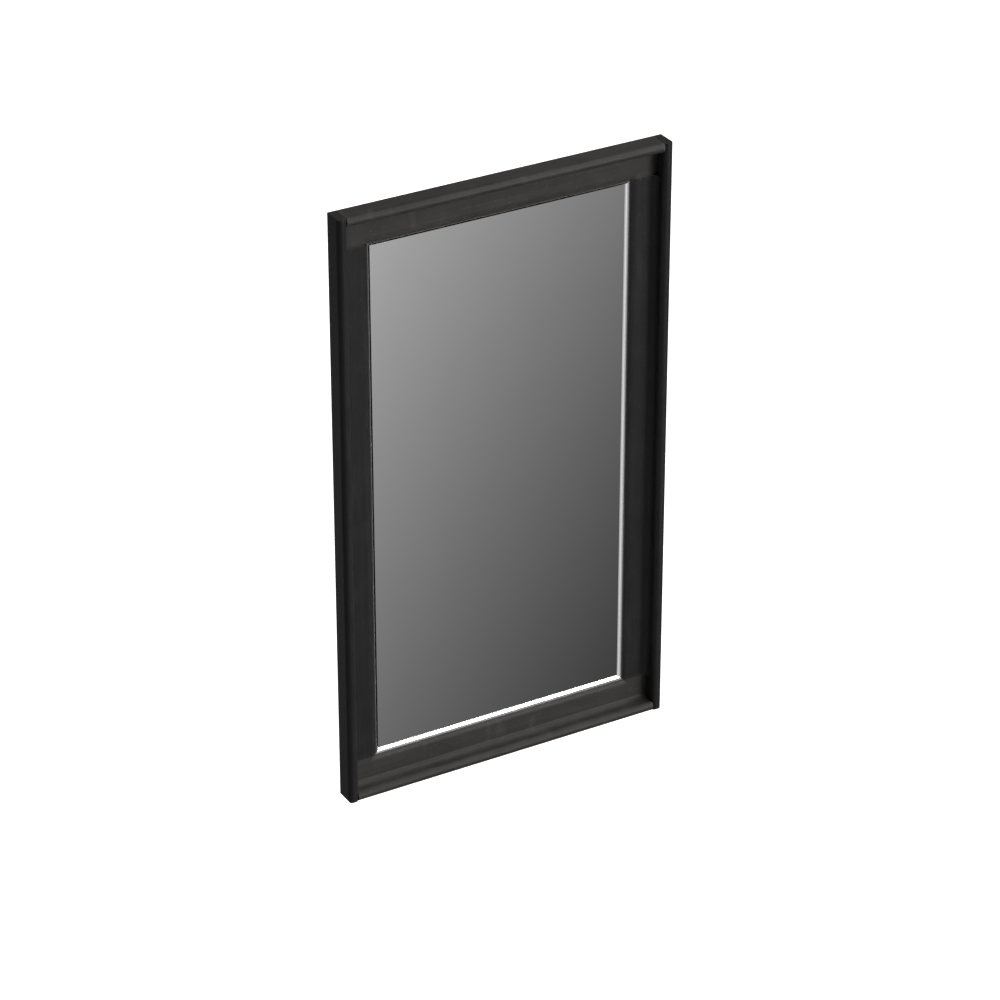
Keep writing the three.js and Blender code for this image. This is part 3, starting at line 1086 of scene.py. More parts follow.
@dataclass(frozen=True)
class Hardboard:
    """Pressed brown fibre board with a smooth face."""

    name: str
    dark: Colour = (0.155, 0.088, 0.044)
    light: Colour = (0.27, 0.165, 0.09)
    fibre: Colour = (0.38, 0.26, 0.16)
    hair_share: float = 0.55
    wear_share: float = 0.5

    def build(self, effects: Effects) -> Material:
        """Builds the material.

        Args:
            effects: the shared node groups.

        Returns:
            The material.
        """
        material, graph, shader = new_finish(self.name)
        mottle = graph.use(effects.mottle, Scale=55.0).outputs
        strands = graph.use(effects.brushing, Stretch=(1.0, 1.0, 0.22), Scale=900.0).outputs["Lines"]
        crossing = graph.use(effects.brushing, Stretch=(0.22, 1.0, 1.0), Scale=900.0).outputs["Lines"]
        wear = graph.use(effects.wear).outputs["Arris"]
        colour = graph.blend(graph.ramp(mottle["Clouds"], low=0.35, high=0.65), self.dark, self.light)
        woven = graph.math("MAXIMUM", strands, crossing)
        hairs = graph.ramp(woven, low=0.6, high=0.76)
        colour = graph.blend(graph.scaled(hairs, self.hair_share), colour, self.fibre)
        colour = graph.blend(graph.scaled(wear, self.wear_share), colour, self.fibre)
        graph.feed(shader.inputs["Base Color"], colour)
        graph.feed(shader.inputs["Roughness"], graph.scaled(mottle["Specks"], gain=0.25, offset=0.5))
        raise_surface(graph, shader, woven, depth=0.00012, strength=0.3)
        return material


@dataclass(frozen=True)
class BeechWood:
    """Pale turned beech with its short dark flecks."""

    name: str
    pale: Colour = (0.56, 0.38, 0.23)
    dark: Colour = (0.42, 0.26, 0.14)
    fleck_share: float = 0.6

    def build(self, effects: Effects) -> Material:
        """Builds the material.

        Args:
            effects: the shared node groups.

        Returns:
            The material.
        """
        material, graph, shader = new_finish(self.name)
        grain = graph.use(effects.grain, Stretch=(0.12, 1.0, 0.12), Fineness=1900.0).outputs
        colour = graph.blend(graph.ramp(grain["Figure"], low=0.35, high=0.65), self.dark, self.pale)
        colour = graph.blend(graph.scaled(grain["Pores"], self.fleck_share), colour, self.dark)
        graph.feed(shader.inputs["Base Color"], colour)
        graph.feed(shader.inputs["Roughness"], graph.scaled(grain["Fibre"], gain=0.2, offset=0.45))
        raise_surface(graph, shader, grain["Fibre"], depth=0.0001, strength=0.3)
        return material


@dataclass(frozen=True)
class ZincSteel:
    """Steel with a bright zinc plating, a little clouded."""

    name: str
    bright: Colour = (0.74, 0.75, 0.76)
    clouded: Colour = (0.52, 0.53, 0.55)
    wear_share: float = 0.5

    def build(self, effects: Effects) -> Material:
        """Builds the material.

        Args:
            effects: the shared node groups.

        Returns:
            The material.
        """
        material, graph, shader = new_finish(self.name)
        clouds = graph.use(effects.mottle, Scale=170.0).outputs["Clouds"]
        lines = graph.use(effects.brushing, Stretch=(1.0, 1.0, 0.06), Scale=2600.0).outputs["Lines"]
        wear = graph.use(effects.wear, Scale=900.0).outputs["Arris"]
        shader.inputs["Metallic"].default_value = 1.0
        colour = graph.blend(graph.ramp(clouds, low=0.38, high=0.62), self.clouded, self.bright)
        colour = graph.blend(graph.scaled(wear, self.wear_share), colour, self.bright)
        graph.feed(shader.inputs["Base Color"], colour)
        graph.feed(shader.inputs["Roughness"], graph.scaled(clouds, gain=0.3, offset=0.16))
        raise_surface(graph, shader, lines, depth=0.00002, strength=0.15)
        return material


@dataclass(frozen=True)
class SoftRubber:
    """Dull black rubber with a fine moulded texture."""

    name: str
    dark: Colour = (0.012, 0.012, 0.012)
    bloom: Colour = (0.035, 0.035, 0.034)

    def build(self, effects: Effects) -> Material:
        """Builds the material.

        Args:
            effects: the shared node groups.

        Returns:
            The material.
        """
        material, graph, shader = new_finish(self.name)
        mottle = graph.use(effects.mottle, Scale=160.0).outputs
        colour = graph.blend(graph.ramp(mottle["Clouds"], low=0.4, high=0.7), self.dark, self.bloom)
        graph.feed(shader.inputs["Base Color"], colour)
        graph.feed(shader.inputs["Roughness"], graph.scaled(mottle["Specks"], gain=0.2, offset=0.6))
        raise_surface(graph, shader, mottle["Specks"], depth=0.00008, strength=0.4)
        return material


@dataclass(frozen=True)
class Finishes:
    """Every finish of the mirror, built."""

    upright_wood: Material
    level_wood: Material
    upright_slip: Material
    level_slip: Material
    silver: Material
    paint: Material
    hardboard: Material
    beech: Material
    zinc: Material
    rubber: Material

    @classmethod
    def build(cls) -> "Finishes":
        """Builds the shared effects and then each finish.

        Returns:
            The finishes.
        """
        effects = Effects.build()
        upright_wood = StainedWood(
            "stained_wood_upright",
            GrainRun.UPRIGHT,
            deep=(0.0149, 0.0143, 0.0149),
            thin=(0.0212, 0.0203, 0.0210),
            worn=(0.075, 0.073, 0.072),
            dusty=(0.055, 0.054, 0.054),
        )
        # Lit and shaded copies of one stained wood: the level copy is painted lighter and warmer than the
        # upright one, a painted sheen for the light that the level members catch.
        level_wood = StainedWood(
            "stained_wood_level_painted_sheen",
            GrainRun.LEVEL,
            deep=(0.034, 0.0312, 0.0286),
            thin=(0.048, 0.0448, 0.0414),
            worn=(0.17, 0.155, 0.145),
            dusty=(0.09, 0.084, 0.078),
        )
        return cls(
            upright_wood=upright_wood.build(effects),
            level_wood=level_wood.build(effects),
            upright_slip=PolishedSlip("polished_slip_upright", GrainRun.UPRIGHT).build(effects),
            level_slip=PolishedSlip("polished_slip_level", GrainRun.LEVEL).build(effects),
            silver=SilveredGlass("silvered_glass").build(effects),
            paint=BackingPaint("glass_backing_paint").build(effects),
            hardboard=Hardboard("brown_hardboard").build(effects),
            beech=BeechWood("dowel_beech").build(effects),
            zinc=ZincSteel("zinc_steel").build(effects),
            rubber=SoftRubber("soft_rubber").build(effects),
        )

    def wood(self, side: Side) -> Material:
        """The stained wood of the members on one side; the level copy is painted lighter and warmer, as
        sheen.
        """
        return self.upright_wood if side.upright else self.level_wood

    def slip(self, side: Side) -> Material:
        """The polished metal of the slip on one side."""
        return self.upright_slip if side.upright else self.level_slip


# ---- Outer boards -------------------------------------------------------------------------------
@dataclass
class OuterBoards:
    """Four boards that stand round the mirror, with a rounded front edge."""

    thickness: float
    gap: float
    nosing_depth: float = 0.0045
    nosing_power: float = 2.6
    nosing_steps: int = 56
    shading_depth: float = 0.0096
    shading_swing: float = 1.6
    shading_steps: int = 5
    back_arris: float = 0.0004
    end_arris: float = 0.0003

    @classmethod
    def from_frame(cls) -> "OuterBoards":
        """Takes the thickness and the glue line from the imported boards.

        Returns:
            The boards, not built yet.
        """
        low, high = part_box("outer_left_board")
        top_low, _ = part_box("outer_top_board")
        return cls(thickness=high.x - low.x, gap=top_low.x - high.x)

    def nosing(self) -> list[Point]:
        """The curve of the front edge, from the outer face to the inner one.

        Returns:
            The curve's points.
        """
        half = self.thickness / 2
        bend = 2 / self.nosing_power
        points = []
        for k in range(self.nosing_steps + 1):
            angle = math.pi * (1 - k / self.nosing_steps)
            across = math.copysign(abs(math.cos(angle)) ** bend, math.cos(angle))
            sink = 1 - max(0.0, math.sin(angle)) ** bend
            points.append((half * (1 + across), ENVELOPE.depth - self.nosing_depth * sink))
        return points

    def section(self) -> list[Edge]:
        """The closed section of a board.

        Returns:
            The section's points.
        """
        rise = (self.shading_depth - self.nosing_depth) / self.shading_steps
        levels = [ENVELOPE.depth - self.shading_depth + k * rise for k in range(self.shading_steps)]
        return eased(
            [
                Corner(0.0, 0.0, self.back_arris),
                *plain([(0.0, level) for level in levels]),
                *plain(self.nosing()),
                *plain([(self.thickness, level) for level in reversed(levels)]),
                Corner(self.thickness, 0.0, self.back_arris),
            ]
        )

    def soften(self, piece: Object, side: Side) -> None:
        """Turns the shading of the front edge evenly from the outer face over to the inner one.

        Args:
            piece: the board.
            side: the side that it lies on.
        """
        inwards, forwards, lengthwise = ENVELOPE.axes(side)
        origin = ENVELOPE.place(side, 0.0, 0.0, 0.0)
        bpy.context.view_layer.update()
        graph = bpy.context.evaluated_depsgraph_get()
        normals = [corner.vector.copy() for corner in piece.evaluated_get(graph).data.corner_normals]
        half = self.thickness / 2
        for loop in piece.data.loops:
            point = piece.data.vertices[loop.vertex_index].co - origin
            rise = (point.dot(forwards) - ENVELOPE.depth + self.shading_depth) / self.shading_depth
            if rise <= 0:
                continue
            lean = normals[loop.index].dot(lengthwise)
            swing = self.shading_swing * (point.dot(inwards) - half) / half
            turned_normal = (inwards * swing + forwards * rise).normalized()
            normals[loop.index] = turned_normal * math.sqrt(max(0.0, 1 - lean**2)) + lengthwise * lean
        piece.modifiers.clear()
        piece.data.normals_split_custom_set(normals)

    def build(self, finishes: Finishes) -> None:
        """Makes and dresses the four boards. The side boards run the full height.

        Args:
            finishes: the built finishes.
        """
        for side in Side:
            reach = ENVELOPE.half_span(side)
            if not side.upright:
                reach -= self.thickness + self.gap
            stations = straight_run(side, self.section(), reach, self.end_arris)
            piece = loft(f"{side.value}_board", stations)
            self.soften(piece, side)
            seat(piece, f"outer_{side.value}_board", finishes.wood(side))


# ---- Inner frame --------------------------------------------------------------------------------
@dataclass
class InnerFrame:
    """Two rails and two stiles: a cove against the boards, a flat, and a rounded moulding."""

    wall: float
    sight: float
    glass_back: float
    gap: float = 0.0002
    cove_land: float = 0.0006
    cove_width: float = 0.0082
    cove_exit: float = math.radians(25)
    sticking_width: float = 0.011
    sticking_drop: float = 0.0039
    face: float = 0.0135
    seat_height: float = 0.00735
    glass_lap: float = 0.008
    backing_lap: float = 0.016
    flat_guard: float = 0.0012
    wall_wear: float = 0.6
    arris: float = 0.0005
    arris_steps: int = 4
    end_arris: float = 0.00025
    cove_steps: int = 22
    sticking_steps: int = 22
    station_pitch: float = 0.05

    @classmethod
    def from_frame(cls) -> "InnerFrame":
        """Takes the wall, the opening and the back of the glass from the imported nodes.

        Returns:
            The inner frame, not built yet.
        """
        stile_low, stile_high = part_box("inner_left_stile")
        _, glass_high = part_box("mirror_glass")
        return cls(
            wall=stile_low.x + ENVELOPE.half_width,
            sight=stile_high.x + ENVELOPE.half_width,
            glass_back=-glass_high.y,
        )

    @property
    def flat_start(self) -> float:
        """Where the cove ends and the flat begins."""
        return self.wall - self.gap + self.cove_width

    def drop(self, from_opening: float) -> float:
        """How far the moulding lies below the flat, at a distance out from the opening.

        Args:
            from_opening: the distance out from the opening.

        Returns:
            The depth below the flat.
        """
        run = max(0.0, self.sticking_width - from_opening)
        steepest = 2 * math.atan2(self.sticking_drop, self.sticking_width)
        radius = self.sticking_width / math.sin(steepest)
        worn_run = max(0.0, self.arris - from_opening)
        eased_edge = self.arris - math.sqrt(self.arris**2 - worn_run**2)
        return radius - math.sqrt(radius**2 - run**2) + eased_edge

    def distances(self) -> list[float]:
        """Sample distances from the opening, from the moulding's outer edge down to nothing.

        Returns:
            The distances, the largest first.
        """
        steps = range(1, self.sticking_steps + 1)
        moulding = {self.sticking_width * k / self.sticking_steps for k in steps}
        quarters = [QUARTER * k / self.arris_steps for k in range(self.arris_steps + 1)]
        edge = {self.arris * (1 - math.sin(angle)) for angle in quarters}
        wide = {d for d in moulding if d > self.arris + MERGE_DISTANCE}
        on_lap = any(abs(d - self.glass_lap) < MERGE_DISTANCE for d in wide)
        lap = set() if on_lap else {self.glass_lap}
        return sorted(wide | edge | lap, reverse=True)

    def cove(self) -> list[Edge]:
        """The hollow from the top of the wall down to the flat.

        Returns:
            The hollow's points.
        """
        start = self.wall + self.cove_land
        radius = (self.flat_start - start) / (1 - math.sin(self.cove_exit))
        top = self.face + radius * math.cos(self.cove_exit)
        edges = [Edge(self.wall, 0.0), Edge(self.wall, top, self.wall_wear)]
        for k in range(self.cove_steps + 1):
            tilt = QUARTER - (QUARTER - self.cove_exit) * k / self.cove_steps
            across = start + radius * (1 - math.sin(tilt))
            edges.append(Edge(across, top - radius * math.cos(tilt), 1.0 if k == 0 else 0.0))
        return edges

    def recess(self, glass: bool, backing: bool) -> list[Edge]:
        """The stepped recess behind the opening, or the solid back beyond its ends.

        Args:
            glass: whether the glass recess is cut here.
            backing: whether the backing recess is cut here.

        Returns:
            Six points, from the opening's edge round to the back, whatever is cut.
        """
        lap = self.sight - self.glass_lap
        far = self.sight - self.backing_lap
        start = (self.sight, self.seat_height)
        step = (self.sight, self.glass_back)
        corner = (lap, self.glass_back)
        outer_corner = (far, self.glass_back)
        back = (far, 0.0)
        if glass:
            route = [start, start, (lap, self.seat_height), corner, outer_corner, back]
        elif backing:
            route = [start, step, corner, corner, outer_corner, back]
        else:
            route = [start, step, (self.sight, 0.0), (lap, 0.0), back, back]
        return [Edge(across, height) for across, height in route]

    def section(self, reach: float = 0.0, glass: bool = True, backing: bool = True) -> list[Edge]:
        """The closed section of a rail or stile.

        Args:
            reach: how far the section lies beyond the end of the opening.
            glass: whether the glass recess is cut here.
            backing: whether the backing recess is cut here.

        Returns:
            The section's points, as many for every reach.
        """
        edges = self.cove()
        edges.append(Edge(self.flat_start + self.flat_guard, self.face))
        for distance in self.distances():
            level = max(distance, reach)
            worn = 1.0 if level < self.arris + MERGE_DISTANCE else 0.0
            edges.append(Edge(self.sight - distance, self.face - self.drop(level), worn))
        return edges + self.recess(glass, backing)

    def build(self, finishes: Finishes) -> None:
        """Makes and dresses the two stiles and the two rails.

        Args:
            finishes: the built finishes.
        """
        for side in Side:
            if side.upright:
                self.build_stile(side, finishes)
            else:
                self.build_rail(side, finishes)

    def build_stile(self, side: Side, finishes: Finishes) -> None:
        """Makes and dresses an upright member, which fits between the rails.

        Args:
            side: the side that it stands on.
            finishes: the built finishes.
        """
        reach = ENVELOPE.half_height - self.sight - self.gap
        stations = straight_run(side, distinct(self.section()), reach, self.end_arris)
        piece = loft(f"{side.value}_stile", stations)
        seat(piece, f"inner_{side.value}_stile", finishes.wood(side))

    def rail_rows(self) -> list[tuple[float, float, list[Edge]]]:
        """Rows of one half of a rail, from its end in: place, draw-in of its end, and section.

        Returns:
            The rows, which serve for either half.
        """
        opening = ENVELOPE.half_width - self.sight
        end = ENVELOPE.half_width - self.wall
        solid = self.section(end - opening, glass=False, backing=False)
        rows = [(end, self.end_arris, solid), (end - self.end_arris, 0.0, solid)]
        backing_end = opening + self.backing_lap
        rows.append((backing_end, 0.0, solid))
        rows.append((backing_end, 0.0, self.section(self.backing_lap, glass=False)))
        for distance in self.distances():
            if distance > self.glass_lap - MERGE_DISTANCE:
                rows.append((opening + distance, 0.0, self.section(distance, glass=False)))
            if distance < self.glass_lap + MERGE_DISTANCE:
                rows.append((opening + distance, 0.0, self.section(distance)))
        return rows

    def build_rail(self, side: Side, finishes: Finishes) -> None:
        """Makes and dresses a rail, whose moulding turns the corner at each end of the opening.

        Args:
            side: the side that it lies on.
            finishes: the built finishes.
        """
        opening = ENVELOPE.half_width - self.sight
        half = self.rail_rows()
        count = round(2 * opening / self.station_pitch)
        middle = [(opening * (2 * k / count - 1), 0.0, self.section()) for k in range(1, count)]
        rows = [(-place, inset, section) for place, inset, section in half] + middle + half[::-1]
        draft = Draft()
        rings = []
        for place, inset, section in rows:
            points = [ENVELOPE.place(side, a, h, place) for a, h in drawn_in(section, inset)]
            rings.append(draft.ring(Station(points, [edge.arris for edge in section])))
        reaches = [abs(place) - opening for place, _, _ in rows]
        for i in range(len(rings) - 1):
            self.bridge_mitred(draft, rings[i : i + 2], reaches[i : i + 2])
        draft.cap(rings[0])
        draft.cap(rings[-1])
        piece = draft.finish(f"{side.value}_rail")
        seat(piece, f"inner_{side.value}_rail", finishes.wood(side))

    def bridge_mitred(self, draft: Draft, rings: Sequence[list[int]], reaches: Sequence[float]) -> None:
        """Joins two rings, and splits the quads on the corner's diagonal along it.

        Args:
            draft: the piece being made.
            rings: vertex numbers of the two rings.
            reaches: how far each ring lies beyond the opening's end.
        """
        near, far = rings
        first = len(self.cove()) + 1
        levels = {first + k: distance for k, distance in enumerate(self.distances())}
        for i in range(len(near)):
            j = (i + 1) % len(near)
            level_i = levels.get(i, math.inf)
            level_j = levels.get(j, math.inf)
            if max(abs(level_i - reaches[0]), abs(level_j - reaches[1])) < MERGE_DISTANCE:
                draft.faces += [(near[i], near[j], far[j]), (near[i], far[j], far[i])]
                draft.creases.append((near[i], far[j]))
            elif max(abs(level_j - reaches[0]), abs(level_i - reaches[1])) < MERGE_DISTANCE:
                draft.faces += [(near[i], near[j], far[i]), (near[j], far[j], far[i])]
                draft.creases.append((near[j], far[i]))
            else:
                draft.faces.append((near[i], near[j], far[j], far[i]))


# ---- Polished slip ------------------------------------------------------------------------------
@dataclass
class GlassSlip:
    """A thin strip round the glass, mitred at its corners, lacquered dark and polished at the glass. The
    lacquer ends at a different place on each side, as painted light and shade.
    """

    sight: float
    glass_front: float
    seat_gap: float = 0.00015
    side_gap: float = 0.0003
    mitre_gap: float = 0.0001
    glass_lap: float = 0.008
    flange: float = 0.0014
    top: float = 0.0096
    flat_width: float = 0.0033
    flat_fall: float = 0.00017
    sight_width: float = 0.0083
    front_edge: float = 0.00035
    arris: float = 0.0003
    arris_guard: float = 0.0004
    flat_steps: int = 6
    fall_steps: int = 20
    station_pitch: float = 0.05
    # Where the lacquer ends and where the bare metal is full, in from the opening's edge, for each side. The
    # sides differ as painted light: the top strip stays dark a little further down its fall, painted shade;
    # the right strip turns bare slowly over its shoulder and the upper part of its fall, painted shade fading
    # out; the bottom strip is bare metal over most of its face, a painted highlight.
    lacquer_reach_and_painted_light: dict[Side, tuple[float, float]] = field(
        default_factory=lambda: {
            Side.LEFT: (0.0033, 0.0037),
            Side.RIGHT: (0.0026, 0.0068),
            Side.TOP: (0.0037, 0.0040),
            Side.BOTTOM: (0.0001, 0.0026),
        }
    )

    @classmethod
    def from_frame(cls) -> "GlassSlip":
        """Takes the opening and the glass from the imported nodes.

        Returns:
            The slip, not built yet.
        """
        _, stile_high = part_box("inner_left_stile")
        glass_low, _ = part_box("mirror_glass")
        return cls(sight=stile_high.x + ENVELOPE.half_width, glass_front=-glass_low.y)

    def section(self) -> list[Edge]:
        """The closed section: a hidden flange, a narrow flat, and a rounded fall to the glass.

        Returns:
            The section's points.
        """
        back = self.glass_front + self.seat_gap
        outer = self.sight - self.glass_lap + self.side_gap
        start = self.sight + self.side_gap
        shoulder = start + self.flat_width
        end = self.sight + self.sight_width
        shoulder_top = self.top - self.flat_fall
        flat = []
        for k in range(1, self.flat_steps):
            share = k / self.flat_steps
            flat.append((start + self.flat_width * share, self.top - self.flat_fall * share))
        fall = shoulder_top - back - self.front_edge
        steepest = 2 * math.atan2(fall, end - shoulder)
        radius = (end - shoulder) / math.sin(steepest)
        curve = []
        for k in range(self.fall_steps + 1):
            tilt = steepest * k / self.fall_steps
            curve.append((shoulder + radius * math.sin(tilt), shoulder_top - radius * (1 - math.cos(tilt))))
        return eased(
            [
                Corner(outer, back),
                Corner(outer, back + self.flange),
                Corner(start, back + self.flange),
                Corner(start, self.top, self.arris),
                *plain(flat + curve),
                Corner(end, back),
            ],
            guard=self.arris_guard,
        )

    def build(self, finishes: Finishes) -> None:
        """Makes and dresses the four strips, their ends cut on the corner's diagonal.

        Args:
            finishes: the built finishes.
        """
        section = self.section()
        marks = [edge.arris for edge in section]
        for side in Side:
            span = ENVELOPE.half_span(side)
            count = round(2 * span / self.station_pitch)
            stations = []
            for k in range(count + 1):
                share = 2 * k / count - 1
                points = []
                for edge in section:
                    along = share * (span - edge.across - self.mitre_gap)
                    points.append(ENVELOPE.place(side, edge.across, edge.height, along))
                stations.append(Station(points, marks))
            piece = loft(f"{side.value}_polished_slip", stations)
            self.mark_polish_and_painted_light(piece, side)
            seat(piece, f"{side.value}_slip", finishes.slip(side))

    def mark_polish_and_painted_light(self, piece: Object, side: Side) -> None:
        """Marks how bare each point is, from the lacquered face to the polished fall. The marks differ by
        side: painted shade where the lacquer reaches further, painted highlight where the metal is bare
        sooner.

        Args:
            piece: the strip.
            side: the side that it lies on.
        """
        inwards = ENVELOPE.axes(side)[0]
        origin = ENVELOPE.place(side, self.sight, 0.0, 0.0)
        covered, bare = self.lacquer_reach_and_painted_light[side]
        marks = []
        for vertex in piece.data.vertices:
            share = ((vertex.co - origin).dot(inwards) - covered) / (bare - covered)
            marks.append(min(1.0, max(0.0, share)))
        piece.data.attributes.new("polish_and_painted_light", "FLOAT", "POINT").data.foreach_set("value", marks)


# ---- Glass and backing --------------------------------------------------------------------------
@dataclass
class Pane:
    """A flat sheet that stands in a recess, with eased edges and slightly rounded corners."""

    half_x: float
    half_z: float
    back: float
    front: float
    radius: float
    arris: float
    rim: float = 0.001
    corner_steps: int = 6
    edge_steps: int = 3

    @classmethod
    def from_node(cls, node: str, radius: float, arris: float) -> "Pane":
        """Takes the sheet's size and place from its node.

        Args:
            node: the CAD node.
            radius: radius of the sheet's corners.
            arris: radius of its eased edges.

        Returns:
            The sheet.
        """
        low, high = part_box(node)
        return cls(high.x, high.z, -high.y, -low.y, radius, arris)

    def outline(self, inset: float) -> list[Point]:
        """The sheet's outline, drawn in.

        Args:
            inset: how far it is drawn in.

        Returns:
            Pairs of x and z.
        """
        radius = self.radius - inset
        points = []
        for quarter, (sign_x, sign_z) in enumerate(((1, 1), (-1, 1), (-1, -1), (1, -1))):
            for k in range(self.corner_steps + 1):
                angle = QUARTER * (quarter + k / self.corner_steps)
                x = sign_x * (self.half_x - self.radius) + radius * math.cos(angle)
                z = sign_z * (self.half_z - self.radius) + radius * math.sin(angle)
                points.append((x, z))
        return points

    def levels(self) -> list[Point]:
        """Heights of the rings from the back to the front, with how far each is drawn in.

        Returns:
            Pairs of height and inset.
        """
        rounding = []
        for k in range(self.edge_steps + 1):
            angle = QUARTER * k / self.edge_steps
            rounding.append((self.arris * (1 - math.cos(angle)), self.arris * (1 - math.sin(angle))))
        back = [(self.back + rise, inset) for rise, inset in rounding]
        return back + [(self.front - rise, inset) for rise, inset in reversed(rounding)]

    def build(self, name: str) -> Object:
        """Makes the sheet.

        Args:
            name: the piece's name.

        Returns:
            The new object.
        """
        levels = [(height, inset, 1.0) for height, inset in self.levels()]
        inner = self.arris + self.rim
        stations = []
        for height, inset, wear in [(self.back, inner, 0.0), *levels, (self.front, inner, 0.0)]:
            points = [Vector((x, -height, z)) for x, z in self.outline(inset)]
            stations.append(Station(points, [wear] * len(points)))
        return loft(name, stations)


@dataclass
class GlassPack:
    """The silvered glass and the backing board that closes it in."""

    glass_radius: float = 0.0015
    glass_arris: float = 0.0004
    board_radius: float = 0.003
    board_arris: float = 0.0004
    hole_clearance: float = 0.0001
    facing_viewer: float = -0.5

    def build(self, finishes: Finishes, screws: "PanelScrews") -> None:
        """Makes and dresses the glass and the backing board.

        Args:
            finishes: the built finishes.
            screws: the screws that the board's holes are cut for.
        """
        glass = Pane.from_node("mirror_glass", self.glass_radius, self.glass_arris)
        pane = glass.build("silvered_pane")
        pane.data.materials.append(finishes.silver)
        pane.data.materials.append(finishes.paint)
        for face in pane.data.polygons:
            face.material_index = 0 if face.normal.y < self.facing_viewer else 1
        seat(pane, "mirror_glass", finishes.silver)
        board = Pane.from_node("backing_board", self.board_radius, self.board_arris)
        panel = board.build("back_panel")
        thickness = board.front - board.back
        cutters = [screws.kind.hole(place, thickness, self.hole_clearance) for place in screws.places]
        carve(panel, merged("panel_holes", cutters))
        seat(panel, "backing_board", finishes.hardboard)


# ---- Screws -------------------------------------------------------------------------------------
@dataclass(frozen=True)
class WoodScrew:
    """A countersunk wood screw with a cross recess. Its axis is Y and its head faces +Y.

    The recess's arm and bar are shares of the head's radius, and its depth one of the head's depth.
    Each of its levels is a share of that depth, with the share of the cross's width there.
    """

    head: float
    head_depth: float
    shank: float
    length: float
    point: float
    pitch: float
    rim: float = 0.00015
    root_share: float = 0.7
    plain_share: float = 0.16
    tip_share: float = 0.04
    recess_arm: float = 0.56
    recess_bar: float = 0.13
    recess_depth: float = 0.72
    recess_mouth: Point = (0.0002, 1.05)
    recess_levels: tuple[Point, ...] = ((0.35, 0.9), (1.0, 0.45))
    hole_over: float = 0.0005
    sides: int = 20
    hole_sides: int = 32
    rows_a_turn: int = 5

    @classmethod
    def from_node(cls, node: str, head_depth: float, shank: float, point: float, pitch: float) -> "WoodScrew":
        """Takes the head and the length from a packed screw.

        Args:
            node: the CAD node.
            head_depth: depth of the countersunk head.
            shank: diameter over the thread.
            point: length of the point.
            pitch: distance from one turn of the thread to the next.

        Returns:
            The screw.
        """
        low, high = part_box(node)
        return cls((high.x - low.x) / 2, head_depth, shank / 2, high.y - low.y, point, pitch)

    def thread(self, angle: float, depth: float) -> float:
        """Radius of the threaded part at an angle round the axis and a depth below the head's top.

        Args:
            angle: the angle round the axis.
            depth: the depth below the head's top.

        Returns:
            The radius.
        """
        threaded = self.head_depth + self.plain_share * self.length
        turns = (depth - threaded) / self.pitch - angle / (2 * math.pi)
        ridge = abs(2 * (turns % 1.0) - 1)
        root = self.shank * self.root_share
        taper = min(1.0, max(self.tip_share, (self.length - depth) / self.point))
        return taper * (root + (self.shank - root) * ridge)

    def build(self, name: str) -> Object:
        """Makes the screw with the middle of its head's top at the origin.

        Args:
            name: the piece's name.

        Returns:
            The new object.
        """
        angles = [2 * math.pi * k / self.sides for k in range(self.sides)]
        threaded = self.head_depth + self.plain_share * self.length
        head = [
            (self.head - self.rim, 0.0),
            (self.head, self.rim),
            (self.head, 2 * self.rim),
            (self.shank, self.head_depth),
            (self.shank, threaded),
        ]
        rows = [[(radius, depth) for _ in angles] for radius, depth in head]
        count = round((self.length - threaded) / self.pitch * self.rows_a_turn)
        for k in range(1, count + 1):
            depth = threaded + (self.length - threaded) * k / count
            rows.append([(self.thread(angle, depth), depth) for angle in angles])
        draft = Draft()
        rings = []
        for row in rows:
            points = [
                Vector((radius * math.cos(angle), -depth, radius * math.sin(angle)))
                for angle, (radius, depth) in zip(angles, row)
            ]
            rings.append(draft.ring(Station(points, [0.0] * self.sides)))
        for near, far in zip(rings, rings[1:]):
            draft.bridge(near, far)
        draft.cap(rings[0])
        draft.cap(rings[-1])
        piece = draft.finish(name)
        carve(piece, self.recess())
        return piece

    def recess(self) -> Object:
        """The cutter of the cross recess: a cross that narrows as it goes down.

        Returns:
            The cutter, in place.
        """
        arm = self.recess_arm * self.head
        bar = self.recess_bar * self.head
        depth = self.recess_depth * self.head_depth
        levels = [self.recess_mouth]
        levels += [(-down * depth, share) for down, share in self.recess_levels]
        cross = [(arm, bar), (bar, bar), (bar, arm), (-bar, arm), (-bar, bar), (-arm, bar)]
        cross += [(-x, -z) for x, z in cross]
        stations = []
        for level, share in levels:
            points = [Vector((x * share, level, z * share)) for x, z in cross]
            stations.append(Station(points, [0.0] * len(points)))
        return loft("recess_cutter", stations)

    def hole(self, place: Vector, thickness: float, clearance: float) -> Object:
        """The cutter of this screw's countersunk hole.

        Args:
            place: the middle of the head's top.
            thickness: thickness of what the hole goes through.
            clearance: room round the screw.

        Returns:
            The cutter, in place.
        """
        slope = (self.head - self.shank) / self.head_depth
        sink = min(thickness, self.head_depth)
        mouth = self.head + clearance
        waist = mouth - slope * sink
        bottom = -thickness - self.hole_over
        profile = [
            (0.0, self.hole_over),
            (mouth, self.hole_over),
            (mouth, 0.0),
            (waist, -sink),
            (waist, bottom),
            (0.0, bottom),
        ]
        cutter = turned("hole_cutter", profile, self.hole_sides)
        cutter.location = place
        return cutter


def screw_place(node: str) -> Vector:
    """The middle of a packed screw's head."""
    low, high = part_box(node)
    return Vector(((low.x + high.x) / 2, high.y, (low.z + high.z) / 2))


